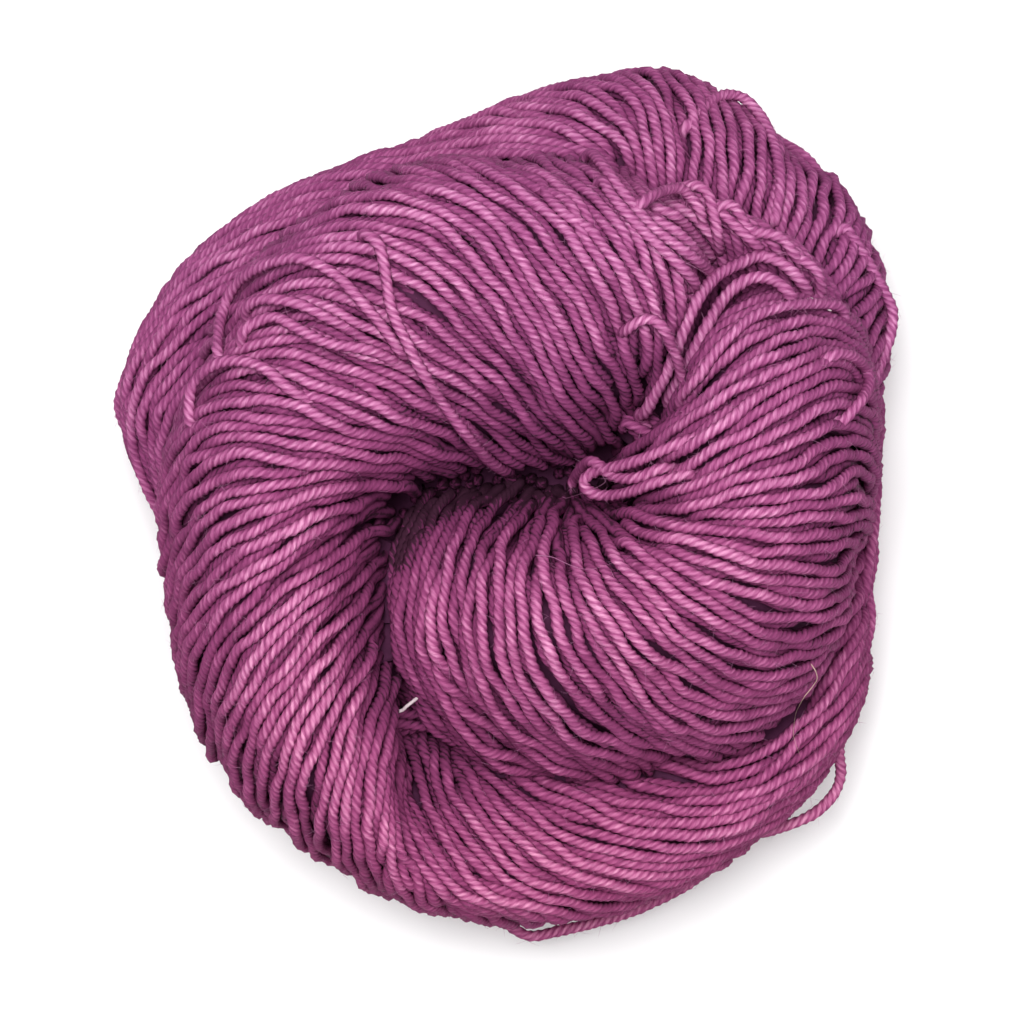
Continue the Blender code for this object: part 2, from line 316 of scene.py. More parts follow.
def spline(rows: Array, at: Array, closed: bool = False) -> Array:
    """Rows of numbers read smoothly at fractional places.

    Args:
        rows: One row of numbers per named place.
        at: The fractional places to read, one number each.
        closed: Whether the last row is followed by the first.

    Returns:
        One row of numbers for each place in `at`.
    """
    count = len(rows)
    start = np.floor(at).astype(int)
    if not closed:
        start = np.clip(start, 0, count - 2)
    part = (at - start)[:, None]
    if closed:
        before, here, after, beyond = (rows[(start + k) % count] for k in (-1, 0, 1, 2))
    else:
        here, after = rows[start], rows[start + 1]
        before = np.where((start == 0)[:, None], 2 * here - after, rows[np.maximum(start - 1, 0)])
        last = (start == count - 2)[:, None]
        beyond = np.where(last, 2 * after - here, rows[np.minimum(start + 2, count - 1)])
    square = 2 * before - 5 * here + 4 * after - beyond
    cubic = beyond - before + 3 * (here - after)
    return here + 0.5 * part * (after - before + part * (square + part * cubic))


def resample(rows: Array, spacing: float | Array, finer: int = 6) -> Array:
    """Rows spaced out along the smooth line that their first three numbers follow.

    Args:
        rows: The line's points in order, each with any further numbers it carries.
        spacing: The distance wanted between two points, one for all or one each.
        finer: How many steps the smooth line has between two of the rows.

    Returns:
        The new rows, both ends kept.
    """
    places = np.linspace(0, len(rows) - 1, (len(rows) - 1) * finer + 1)
    fine = spline(rows, places)
    wanted = np.interp(places, np.arange(len(rows)), np.broadcast_to(spacing, len(rows)))
    steps = np.linalg.norm(np.diff(fine[:, :3], axis=0), axis=1)
    run = running(2 * steps / (wanted[1:] + wanted[:-1]))
    count = max(2, int(round(run[-1])) + 1)
    stops = np.linspace(0.0, run[-1], count)
    return np.column_stack([np.interp(stops, run, column) for column in fine.T])


class Wander:
    """A smooth, wandering number along a length: a few sine waves at random phases."""

    def __init__(self, rng: np.random.Generator, waves: Sequence[Pair]) -> None:
        """Take the waves as pairs of amplitude and wavelength."""
        self.waves = [(a, w * rng.uniform(0.85, 1.15), rng.uniform(0, 2 * math.pi)) for a, w in waves]

    def at(self, run: Array) -> Array:
        """The number at each distance in `run`."""
        return sum(a * np.sin(2 * math.pi * run / w + p) for a, w, p in self.waves)


@dataclass
class Strand:
    """One stretch of yarn: its centre line, and what sets it apart.

    `hold` is how much of a push it gives back in a round of settling. `outward` has
    a row for each point: the way out of the hank, and how open the point lies there,
    which sets the painted shade of its colour.
    """

    points: Array
    piece: str
    tone: float = 0.0
    radius: float = YARN.radius
    hold: float = 0.05
    spacing: Optional[Array] = None
    bare: Optional[Array] = None
    outward: Optional[Array] = None


@dataclass(frozen=True)
class Fold:
    """The slit between the lobes: its line in plan, and how painted shade fades the strands' colour into it.
    """

    line: tuple[Pair, ...] = (
        (-18.4, -7.5), (-16.2, -2.0), (-11.5, 2.8), (-2.0, 3.8), (8.0, 4.4), (14.5, 6.4),
    )
    slit: float = 0.8
    fade: float = 3.5
    # gloom: how far below dark the fold's painted shade pushes the openness.
    gloom: float = 0.85

    def paint_fold_shade(self, strand: Strand) -> None:
        """Paint shade on a strand where it goes down into the fold, by lowering the openness that sets its
        colour.

        Args:
            strand: The strand, whose openness is changed.
        """
        line = np.array(self.line)
        start, step = line[:-1], np.diff(line, axis=0)
        away = strand.points[:, None, :2] - start[None]
        share = np.clip(np.sum(away * step, axis=2) / np.sum(step * step, axis=1), 0.0, 1.0)
        distance = np.linalg.norm(away - share[..., None] * step, axis=2).min(axis=1)
        # Painted shade: the light share falls toward the slit, and in it the colour goes darker than on any
        # open strand.
        light = smooth((distance - self.slit) / self.fade)
        strand.outward[:, 3] = strand.outward[:, 3] * light - self.gloom * (1 - light)


class Surface:
    """A surface that turns of yarn are laid along.

    It is asked for places across the turns and ways along them, in arrays of one
    shape, and gives a point for each pair. Its forms answer for flat arrays.
    """

    def spot(self, place: Array, way: Array) -> Array:
        """Points on the surface."""
        return self._shell(place.ravel(), way.ravel()).reshape(*place.shape, 3)

    def inside(self, place: Array, way: Array) -> Array:
        """Points inside the form, that the surface faces away from."""
        return self._heart(place.ravel(), way.ravel()).reshape(*place.shape, 3)

    def _shell(self, place: Array, way: Array) -> Array:
        """Points on the surface, for flat arrays."""
        raise NotImplementedError

    def _heart(self, place: Array, way: Array) -> Array:
        """Points inside the form, for flat arrays."""
        raise NotImplementedError


class LobeSurface(Surface):
    """The back of a lobe: `way` is the angle over it, 0 at the fold, pi at the rim."""

    BASE = 18.0
    STAGES = (0.0, 0.95, 1.57, 2.2, 2.85, 3.5)
    PLACES, STEPS = 205, 121
    START, STOP = -0.2, 1.16
    NUDGE = 0.004
    NARROWEST = 15.0
    SAG_END = 1.15
    UNDER_SHARE = 0.4

    def __init__(
        self, bunches: Sequence[Bunch], valley: float = 0.0, reach: float = 0.0, leans: Sequence[Lean] = (),
    ) -> None:
        """Read the bunches of the lobe.

        Args:
            bunches: The lobe's bunches in order.
            valley: How far the turns sag at the fold.
            reach: How far the turns lean out over the fold.
            leans: How the turns lean off the bunch lines.
        """
        self.rows = np.array([[*b.root, *b.near, *b.far, *b.rim, b.crown, b.level] for b in bunches])
        self.valley, self.reach = valley, reach
        self.last = len(bunches) - 1
        self.flow: Optional[Array] = None
        if leans:
            self.flow = self._follow(leans)

    def _follow(self, leans: Sequence[Lean]) -> Array:
        """Follow the leaning turns from the fold to under the rim.

        Args:
            leans: How the turns lean, place by place.

        Returns:
            The place reached: a row for each place at the fold, a column for each step.
        """
        known = [lean.place for lean in leans]
        angles = np.array([
            [row.near, row.near, row.middle, row.far, row.edge, row.edge * self.UNDER_SHARE] for row in leans
        ], float)
        place = np.linspace(self.START, self.STOP, self.PLACES)
        reached = [place]
        turns = np.linspace(0.0, self.STAGES[-1], self.STEPS)
        for turn, after in zip(turns[:-1], turns[1:]):
            here = self.spot(place, np.full(self.PLACES, turn))
            step = np.linalg.norm(self.spot(place, np.full(self.PLACES, after)) - here, axis=1)
            beside = self.spot(place + self.NUDGE, np.full(self.PLACES, turn))
            width = np.maximum(np.linalg.norm(beside - here, axis=1) / self.NUDGE, self.NARROWEST)
            stage = np.interp(turn, self.STAGES, np.arange(len(self.STAGES)))
            low = min(int(stage), len(self.STAGES) - 2)
            column = angles[:, low] + (angles[:, low + 1] - angles[:, low]) * (stage - low)
            lean = np.interp(place, known, column)
            place = np.clip(place + np.tan(np.radians(lean)) * step / width, self.START, self.STOP)
            reached.append(place)
        return np.array(reached).T

    def _led(self, place: Array, turn: Array) -> Array:
        """Where the leaning turns have come to.

        Args:
            place: The places the turns have at the fold.
            turn: How far over the lobe each is looked at.

        Returns:
            The place that each has there.
        """
        across = (place - self.START) / (self.STOP - self.START) * (self.PLACES - 1)
        across = np.clip(across, 0.0, self.PLACES - 1)
        along = np.clip(turn / self.STAGES[-1], 0.0, 1.0) * (self.STEPS - 1)
        i = np.minimum(across.astype(int), self.PLACES - 2)
        j = np.minimum(along.astype(int), self.STEPS - 2)
        u, v = across - i, along - j
        near = self.flow[i, j] * (1 - v) + self.flow[i, j + 1] * v
        far = self.flow[i + 1, j] * (1 - v) + self.flow[i + 1, j + 1] * v
        return near * (1 - u) + far * u

    def _rows(self, place: Array, turn: Array) -> Array:
        """The bunches that turns follow.

        Args:
            place: The places the turns are laid at.
            turn: How far over the lobe each is looked at.

        Returns:
            A bunch's row of numbers for each turn.
        """
        if self.flow is not None:
            place = self._led(place, turn)
        held = np.clip(place, 0.0, 1.0)
        over = ((place - held) * self.last)[:, None]
        ends = np.where(over < 0, self.rows[1] - self.rows[0], self.rows[-1] - self.rows[-2])
        return spline(self.rows, held * self.last) + over * ends

    @staticmethod
    def _plan(rows: Array, share: Array) -> Array:
        """Plan positions on the cubic through a bunch's root, near, far and rim.

        Args:
            rows: Bunches' rows of numbers.
            share: The share of the way from root to rim.

        Returns:
            One x and y for each row.
        """
        weights = (
            -4.5 * (share - 1 / 3) * (share - 2 / 3) * (share - 1),
            13.5 * share * (share - 2 / 3) * (share - 1),
            -13.5 * share * (share - 1 / 3) * (share - 1),
            4.5 * share * (share - 1 / 3) * (share - 2 / 3),
        )
        return sum(w[:, None] * rows[:, 2 * k:2 * k + 2] for k, w in enumerate(weights))

    def _shell(self, place: Array, way: Array) -> Array:
        """Points over the lobe.

        Args:
            place: Places across it, 0 to 1.
            way: The angle over it at each.

        Returns:
            A point for each pair.
        """
        rows = self._rows(place, way)
        plan = self._plan(rows, (1 - np.cos(way)) / 2)
        crown, level = rows[:, 8], rows[:, 9]
        lift = np.where(np.sin(way) > 0, crown - level, level - self.BASE)
        sunk = 1 - smooth(way / self.SAG_END)
        plan = plan + unit(rows[:, 0:2] - rows[:, 2:4]) * (self.reach * sunk)[:, None]
        return np.column_stack([plan, level + lift * np.sin(way) - self.valley * sunk])

    def _heart(self, place: Array, way: Array) -> Array:
        """The middle of the lobe's section for each turn."""
        rows = self._rows(place, way)
        return np.column_stack([self._plan(rows, np.full(len(rows), 0.5)), rows[:, 9]])


class RingSurface(Surface):
    """The ring of turns: `way` is the angle round its section, 0 outermost, 90 on top."""

    WIDEST = 25.0
    UNDER = 26.4
    CENTRE = (0.0, 2.0)
    FULLNESS = 0.85

    def __init__(self, leans: Sequence[RingLean] = (), under_lean: float = 0.0) -> None:
        """Take how far the turns lean.

        Args:
            leans: The lean of the turns above the widest level, round the ring.
            under_lean: The lean of the turns below it, in degrees round per degree over.
        """
        self.angles = np.array([*(t.angle for t in RING), 360.0])
        self.sizes = np.array([[t.outer, t.inner, t.top] for t in RING], float)
        self.lean_at = [row.angle for row in leans]
        self.lean = [row.lean for row in leans]
        self.under_lean = under_lean

    def _angle(self, place: Array, way: Array) -> Array:
        """Degrees round the ring of turns on their way over it.

        Args:
            place: Where each turn crosses the widest level, as a share of the way round.
            way: The section angle it is looked at.

        Returns:
            An angle for each pair.
        """
        out = place * 360.0
        lean = np.interp(out % 360.0, self.lean_at, self.lean)
        degrees = np.degrees(way)
        return out - np.where(degrees > 0, lean, self.under_lean) * degrees

    def _section(self, angle: Array, turn: Array) -> Array:
        """Points of the ring.

        Args:
            angle: Degrees round the ring.
            turn: The section angle at each, in radians.

        Returns:
            A point for each pair.
        """
        place = np.interp(angle % 360.0, self.angles, np.arange(len(RING) + 1))
        rows = spline(self.sizes, place, closed=True)
        middle, half = (rows[:, 0] + rows[:, 1]) / 2, (rows[:, 0] - rows[:, 1]) / 2
        side, rise = np.cos(turn), np.sin(turn)
        power = np.where(rise > 0, self.FULLNESS, 1.0)
        radius = middle + half * np.sign(side) * np.abs(side) ** power
        lift = np.where(rise > 0, rows[:, 2] - self.WIDEST, self.UNDER)
        height = self.WIDEST + lift * np.sign(rise) * np.abs(rise) ** power
        bearing = np.radians(angle)
        return np.column_stack([
            self.CENTRE[0] + radius * np.cos(bearing),
            self.CENTRE[1] + radius * np.sin(bearing),
            np.maximum(height, 0.0),
        ])

    def _middle(self, angle: Array) -> Array:
        """The middles of the ring's section.

        Args:
            angle: Degrees round the ring.

        Returns:
            A point for each angle.
        """
        outer = self._section(angle, np.zeros(angle.size))
        inner = self._section(angle, np.full(angle.size, math.pi))
        middle = (outer + inner) / 2
        middle[:, 2] = self.WIDEST
        return middle

    def _shell(self, place: Array, way: Array) -> Array:
        """Points of the ring at `place`, 0 to 1 round it, and section angle `way`."""
        return self._section(self._angle(place, way), way)

    def _heart(self, place: Array, way: Array) -> Array:
        """The middle of the ring's section for each turn."""
        return self._middle(self._angle(place, way))


class RimSurface(RingSurface):
    """The outermost turns of the ring, which run nearly level round it.

    Here `place` is the share down the band and `way` the angle round, in degrees.
    """

    def __init__(self, high: Pair, low: Pair, span: Pair) -> None:
        """Take the section angles of the band's top and bottom turn at both ends.

        Args:
            high: Section angle of the top turn where it starts and where it ends.
            low: The same for the bottom turn.
            span: Angles round the ring between which the band runs.
        """
        super().__init__()
        self.high, self.low, self.span = high, low, span

    def _turn(self, place: Array, way: Array) -> Array:
        """Section angles, in radians, of the band's turns.

        Args:
            place: The share down the band of each turn.
            way: Degrees round the ring that it is looked at.

        Returns:
            An angle for each pair.
        """
        share = (way - self.span[0]) / (self.span[1] - self.span[0])
        high = self.high[0] + (self.high[1] - self.high[0]) * share
        low = self.low[0] + (self.low[1] - self.low[0]) * share
        return np.radians(high + (low - high) * place)

    def _shell(self, place: Array, way: Array) -> Array:
        """Points of the band."""
        return self._section(way, self._turn(place, way))

    def _heart(self, place: Array, way: Array) -> Array:
        """The middle of the ring's section for each turn."""
        return self._middle(way)


def turn_rank(index: int) -> float:
    """Digits of `index` in base two, mirrored: an even spread of ranks from 0 to 1.

    Args:
        index: The number of a turn in its family.

    Returns:
        Its rank.
    """
    value, share = 0.0, 0.5
    while index:
        value += share * (index & 1)
        index >>= 1
        share /= 2
    return value


@dataclass
class Laying:
    """How a family of turns is laid on its surface.

    Where the turns crowd together some of them dip below the others, a layer at a
    time, and where they fan out again they all come up. The waves are pairs of
    amplitude and wavelength.
    """

    piece: str
    surface: Surface
    way: Pair
    seed: int
    spacing: float = 1.5
    fullest: float = 0.93
    below: float = 1.1
    layer: float = 1.65
    room: float = 0.72
    sway: float = 0.55
    heave: float = 0.45
    bunching: float = 0.8
    gather: float = 0.75
    hold: float = 0.05
    samples: int = 150
    dive: Pair = (0.0, 0.0)
    dive_run: float = 12.0
    span: Pair = (0.0, 1.0)
    shares: tuple[Share, ...] = ()

    HILLS = ((1.0, 11.0), (0.7, 17.0), (0.6, 29.0))
    DRIFTS = ((0.6, 8.0), (0.5, 13.0))
    HEAVES = ((1.0, 30.0), (0.5, 13.0))
    SWAYS = ((1.0, 46.0), (0.6, 19.0))
    RIPPLE = (0.12, 8.0)
    HILL_SLANT, DRIFT_SLANT = 0.12, 0.1
    NUDGE = 0.002
    CANDIDATES = 500
    SNUG = 0.96
    CLOSEST, FULLEST_LOAD = 0.05, 8.0
    CLIMB = 0.3
    STEP = 1.5
    TONE_SPREAD = 0.5
    THICKNESS = (0.93, 1.08)

    def _grid(self, places: Array) -> tuple[Array, Array, Array]:
        """Follow turns over the surface.

        Args:
            places: Where across the surface the turns go.

        Returns:
            Their points, outward normals and run directions.
        """
        ways = np.linspace(*self.way, self.samples)
        place, way = np.meshgrid(places, ways, indexing="ij")
        points = self.surface.spot(place, way)
        along = unit(np.gradient(points, axis=1))
        side = self.surface.spot(np.clip(place + self.NUDGE, *self.span), way)
        side = side - self.surface.spot(np.clip(place - self.NUDGE, *self.span), way)
        normal = unit(np.cross(along, side))
        out = points - self.surface.inside(place, way)
        normal *= np.sign(np.sum(normal * out, axis=2, keepdims=True) + 1e-12)
        return points, normal, along

    @staticmethod
    def _gaps(points: Array, along: Array) -> Array:
        """Measure between each turn and the next.

        Args:
            points: The points of the turns, a row for each turn.
            along: The way they run at each.

        Returns:
            The distances square to their run, one row fewer.
        """
        step = np.diff(points, axis=0)
        middle = along[:-1]
        square = step - np.sum(step * middle, axis=2, keepdims=True) * middle
        return np.linalg.norm(square, axis=2)

    def _places(self) -> Array:
        """Spread the turns over the surface.

        Returns:
            Where across it they go, to be about `spacing` apart.
        """
        dense = np.linspace(*self.span, self.CANDIDATES)
        points, _, along = self._grid(dense)
        run = running(np.quantile(self._gaps(points, along), self.fullest, axis=1))
        count = max(3, int(round(run[-1] / self.spacing)))
        return np.interp((np.arange(count) + 0.5) / count * run[-1], run, dense)

    def _layers(self, load: Array) -> Array:
        """Sort a turn into layers.

        Args:
            load: Its rank times how crowded it lies, at each point.

        Returns:
            How many layers down it lies there.
        """
        raised = load / self.room - 1
        whole = np.floor(raised)
        return np.maximum(whole + smooth((raised - whole) / self.CLIMB), 0.0)

    def _dive(self, run: Array) -> tuple[Array, Array]:
        """How far a turn goes down toward its start and toward its end."""
        left = (run[-1] - run) / self.dive_run
        return self.dive[0] * (1 - smooth(run / self.dive_run)), self.dive[1] * (1 - smooth(left))

    def strands(self) -> list[Strand]:
        """Lay the turns of this family.

        Returns:
            A strand for each turn.
        """
        rng = np.random.default_rng(self.seed)
        places = self._places()
        points, normal, along = self._grid(places)
        gaps = self._gaps(points, along)
        beside = np.vstack([gaps[:1], (gaps[1:] + gaps[:-1]) / 2, gaps[-1:]])
        load = 2 * YARN.radius * self.SNUG / np.maximum(beside, self.CLOSEST)
        crowding = np.clip(load, 0.0, self.FULLEST_LOAD)
        across = running(np.median(gaps, axis=1))
        side = unit(np.cross(normal, along))
        hills, drifts = Wander(rng, self.HILLS), Wander(rng, self.DRIFTS)
        heaves = [(self.heave * a, w) for a, w in self.HEAVES]
        sways = [*((self.sway * a, w) for a, w in self.SWAYS), self.RIPPLE]
        laid = []
        for k, place in enumerate(places):
            run = running(np.linalg.norm(np.diff(points[k], axis=0), axis=1))
            rank = turn_rank(k + self.seed % 7)
            depth = self.below + self.layer * self._layers(rank * crowding[k])
            depth = depth + self.bunching * hills.at(across[k] + self.HILL_SLANT * run)
            depth = depth + Wander(rng, heaves).at(run)
            first, last = self._dive(run)
            depth = depth + first + last
            sway = Wander(rng, sways).at(run)
            sway = sway + self.gather * drifts.at(across[k] + self.DRIFT_SLANT * run)
            line = points[k] - normal[k] * depth[:, None] + side[k] * sway[:, None]
            laid.append(Strand(
                points=resample(line, self.STEP),
                piece=next((share.piece for share in self.shares if place < share.stop), self.piece),
                tone=float(rng.normal(0.0, self.TONE_SPREAD)),
                radius=YARN.radius * float(rng.uniform(*self.THICKNESS)),
                hold=self.hold,
            ))
        return laid


class Solid:
    """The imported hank, to measure depth in and to find the way out of."""

    def __init__(self, node: bpy.types.Object) -> None:
        """Merge a copy of the node's mesh and make it searchable.

        Args:
            node: The CAD node of the hank.
        """
        self.mesh = bmesh.new()
        self.mesh.from_mesh(node.data)
        bmesh.ops.remove_doubles(self.mesh, verts=self.mesh.verts, dist=1e-6)
        self.tree = BVHTree.FromBMesh(self.mesh)

    def _nearest(self, points: Array) -> Array:
        """Look up the nearest place on the solid.

        Args:
            points: Points in mm.

        Returns:
            For each point, the way out there and how deep the point lies; outside is negative.
        """
        found = []
        for point in points:
            spot = Vector(point * MM)
            near, normal, _, distance = self.tree.find_nearest(spot)
            inward = (spot - near).dot(normal) < 0
            found.append((*normal, distance / MM if inward else -distance / MM))
        return np.array(found)

    def depth(self, points: Array) -> Array:
        """How deep each point lies in the solid, in mm; outside is negative."""
        return self._nearest(points)[:, 3]

    def outward(self, points: Array) -> Array:
        """The way out of the solid from each point of a line and how deep it lies, evened along it."""
        return np.column_stack([averaged(column, 2) for column in self._nearest(points).T])


@dataclass
class Packing:
    """Turns of yarn pushed apart until they lie side by side.

    `reach` is how far apart two turns of plain thickness come to lie, `furthest` how
    far a point may move in all, and `hop` and `dig` how far in one round.
    """

    reach: float = 2.07
    lookout: float = 1.08
    rounds: int = 46
    quick_rounds: int = 12
    push: float = 0.42
    stiffness: float = 0.55
    evenings: int = 2
    kin: int = 5
    hop: float = 0.6
    dig: float = 2.0
    furthest: float = 3.4
    floor: float = 1.08
    skin: float = 0.6
    inner: float = 46.0

    @staticmethod
    def _pairs(points: Array, reach: float) -> tuple[Array, Array]:
        """Find points that may be close.

        Args:
            points: The points.
            reach: The size of the cells they are sorted into.

        Returns:
            Index pairs of points that lie in the same or touching cells, each pair once.
        """
        cell = np.floor(points / reach).astype(np.int64)
        cell -= cell.min(axis=0) - 1
        size = cell.max(axis=0) + 2
        key = (cell[:, 0] * size[1] + cell[:, 1]) * size[2] + cell[:, 2]
        order = np.argsort(key, kind="stable")
        ordered = key[order]
        steps = [(x, y, z) for x in (-1, 0, 1) for y in (-1, 0, 1) for z in (-1, 0, 1)]
        first, second = [], []
        for step in steps[len(steps) // 2:]:
            shift = (step[0] * size[1] + step[1]) * size[2] + step[2]
            start = np.searchsorted(ordered, key + shift, "left")
            count = np.searchsorted(ordered, key + shift, "right") - start
            one = np.repeat(np.arange(len(points)), count)
            offset = np.arange(count.sum()) - np.repeat(np.cumsum(count) - count, count)
            two = order[np.repeat(start, count) + offset]
            keep = one < two if step == (0, 0, 0) else np.ones(len(one), bool)
            first.append(one[keep])
            second.append(two[keep])
        return np.concatenate(first), np.concatenate(second)

    def _push(self, now: Array, owner: Array, index: Array, wide: Array) -> Array:
        """Push apart the turns that lie in each other.

        Args:
            now: Where the points are.
            owner: The number of each point's turn.
            index: The number of each point along its turn.
            wide: The thickness of its turn, as a share of the plain one.

        Returns:
            How far each point is pushed.
        """
        one, two = self._pairs(now, self.reach * self.lookout)
        apart = now[two] - now[one]
        distance = np.linalg.norm(apart, axis=1)
        reach = self.reach * (wide[one] + wide[two]) / 2
        same = (owner[one] == owner[two]) & (np.abs(index[one] - index[two]) < self.kin)
        near = (distance < reach) & ~same & (distance > 1e-6)
        one, two = one[near], two[near]
        away = apart[near] / distance[near, None]
        move = away * ((reach[near] - distance[near]) * self.push)[:, None]
        total = np.zeros_like(now)
        for axis in range(3):
            total[:, axis] -= np.bincount(one, move[:, axis], len(now))
            total[:, axis] += np.bincount(two, move[:, axis], len(now))
        return total

    def _even(self, shift: Array, joined: Array) -> None:
        """Stiffen the turns, so that neighbours along them move alike.

        Args:
            shift: How far each point has moved, which is changed.
            joined: Whether each point belongs to the same turn as the next.
        """
        for _ in range(self.evenings):
            before, after = shift.copy(), shift.copy()
            before[1:][joined] = shift[:-1][joined]
            after[:-1][joined] = shift[1:][joined]
            shift += self.stiffness * ((before + after) / 2 - shift)

    def settle(self, strands: Sequence[Strand], outward: Callable[[Array], Array]) -> None:
        """Push the strands apart, keeping each near where it was laid and under the skin.

        Args:
            strands: The strands, whose points are moved.
            outward: The way out of the hank from points, with how deep each lies.
        """
        counts = [len(s.points) for s in strands]
        rest = np.vstack([s.points for s in strands])
        skin = np.vstack([outward(s.points) for s in strands])
        inner = np.hypot(rest[:, 0], rest[:, 1]) < self.inner
        limit = np.where(inner, np.minimum(self.skin, skin[:, 3]), self.skin)
        owner = np.repeat(np.arange(len(strands)), counts)
        index = np.concatenate([np.arange(count) for count in counts])
        hold = np.repeat([s.hold for s in strands], counts)[:, None]
        wide = np.repeat([s.radius / YARN.radius for s in strands], counts)
        shift = np.zeros_like(rest)
        for _ in range(self.rounds):
            pushed = self._push(rest + shift, owner, index, wide)
            shift = (shift + np.clip(pushed, -self.hop, self.hop)) * (1 - hold)
            self._even(shift, owner[1:] == owner[:-1])
            size = np.linalg.norm(shift, axis=1, keepdims=True)
            shift *= np.minimum(1.0, self.furthest / np.maximum(size, 1e-6))
            bare = limit - (skin[:, 3] - np.sum(shift * skin[:, :3], axis=1))
            shift -= skin[:, :3] * np.clip(bare, 0.0, self.dig)[:, None]
            low = self.floor - (rest[:, 2] + shift[:, 2])
            shift[:, 2] += np.maximum(low, 0.0)
        for strand, points in zip(strands, np.split(rest + shift, np.cumsum(counts)[:-1])):
            strand.points = points


class Sight:
    """What can be seen of the strands from any side."""

    SIDES = 5
    TILTS = ((0, 0), (0.2, 0), (-0.2, 0), (0, 0.2), (0, -0.2))
    ALL_ROUND = 34
    GOLDEN_TURN = 2.39996
    SWELL = 1.1
    CLEAR = 1.15
    LOW = 10.0
    DIM = 0.1
    BLUR = 2
    SKY = 200.0

    def __init__(self, strands: Sequence[Strand]) -> None:
        """Make plain tubes of the strands, a little full, to be looked at.

        Args:
            strands: The settled strands.
        """
        verts: list[Array] = []
        faces: list[tuple[int, ...]] = []
        base = 0
        turn = np.linspace(0, 2 * math.pi, self.SIDES, endpoint=False)
        for strand in strands:
            along = unit(np.gradient(strand.points, axis=0))
            side = square_to(along)
            up = np.cross(side, along)
            ring = side[:, None] * np.cos(turn)[None, :, None] + up[:, None] * np.sin(turn)[None, :, None]
            verts.append((strand.points[:, None] + self.SWELL * strand.radius * ring).reshape(-1, 3))
            for i in range(len(strand.points) - 1):
                for j in range(self.SIDES):
                    a, b = base + i * self.SIDES + j, base + i * self.SIDES + (j + 1) % self.SIDES
                    faces.append((a, b, b + self.SIDES, a + self.SIDES))
            base += len(strand.points) * self.SIDES
        self.tree = BVHTree.FromPolygons(np.vstack(verts).tolist(), faces)
        self.ways = self._directions()

    def _directions(self) -> list[Vector]:
        """Choose where to look from.

        Returns:
            Directions nearly straight up first, then spread all round.
        """
        ways = [Vector((x, y, 1)) for x, y in self.TILTS]
        for k in range(self.ALL_ROUND):
            height = 1 - 2 * (k + 0.5) / self.ALL_ROUND
            turn = k * self.GOLDEN_TURN
            flat = math.sqrt(1 - height * height)
            ways.append(Vector((flat * math.cos(turn), flat * math.sin(turn), height)))
        return [way.normalized() for way in ways]

    def top(self, x: float, y: float) -> float:
        """The level of the uppermost turn over a spot."""
        hit, _, _, _ = self.tree.ray_cast(Vector((x, y, self.SKY)), Vector((0, 0, -1)))
        return hit.z if hit else 0.0

    def seen(self, strand: Strand) -> Array:
        """Look at each point of a strand, and note how bare it lies and how finely to mesh it.

        Args:
            strand: The strand, whose `bare` and `spacing` are filled in.

        Returns:
            Whether each point can be seen.
        """
        start = strand.radius * self.SWELL * self.CLEAR
        clear = np.zeros((len(strand.points), len(self.ways)), bool)
        for k, point in enumerate(strand.points):
            spot = Vector(point)
            for n, way in enumerate(self.ways):
                clear[k, n] = self.tree.ray_cast(spot + way * start, way)[0] is None
        strand.bare = averaged(clear.mean(axis=1), self.BLUR)
        steep = clear[:, :len(self.TILTS)].any(axis=1)
        above = np.convolve(steep, np.ones(2 * self.BLUR + 1), "same") > 0
        fine = np.where(above, Detail.NEAR.value, Detail.SIDE.value)
        coarse = (strand.points[:, 2] < self.LOW) | ((strand.bare < self.DIM) & ~above)
        strand.spacing = np.where(coarse, Detail.UNDER.value, fine)
        return clear.any(axis=1)


def runs(mask: Array, grow: int, shortest: int) -> list[tuple[int, int]]:
    """Stretches where `mask` holds, grown at both ends.

    Args:
        mask: One truth value per point.
        grow: How many points to add at each end of a stretch.
        shortest: Stretches with fewer points are dropped.

    Returns:
        First and past-the-last index of each stretch.
    """
    wide = np.convolve(mask.astype(int), np.ones(2 * grow + 1, int), "same") > 0
    edges = np.flatnonzero(np.diff(np.concatenate([[0], wide.astype(int), [0]])))
    return [(a, b) for a, b in zip(edges[::2], edges[1::2]) if b - a >= shortest]


def cut(
    strands: Iterable[Strand], mask_of: Callable[[Strand], Array], grow: int, shortest: int = 5,
) -> list[Strand]:
    """Cut strands down to the stretches that are wanted.

    Args:
        strands: The strands.
        mask_of: Says of each point of a strand whether it is wanted.
        grow: How many points to add at each end of a stretch.
        shortest: Stretches with fewer points are dropped.

    Returns:
        The stretches, each a strand of its own.
    """
    kept = []
    for strand in strands:
        mask = mask_of(strand)
        columns = {"points": strand.points, "spacing": strand.spacing, "bare": strand.bare}
        for start, stop in runs(mask, grow, shortest):
            kept.append(replace(strand, **{n: c[start:stop] for n, c in columns.items() if c is not None}))
    return kept


@dataclass(frozen=True)
class Spot:
    """A place that a loose turn passes: plan position, and lift in yarn radii or level in mm."""

    x: float
    y: float
    lift: float


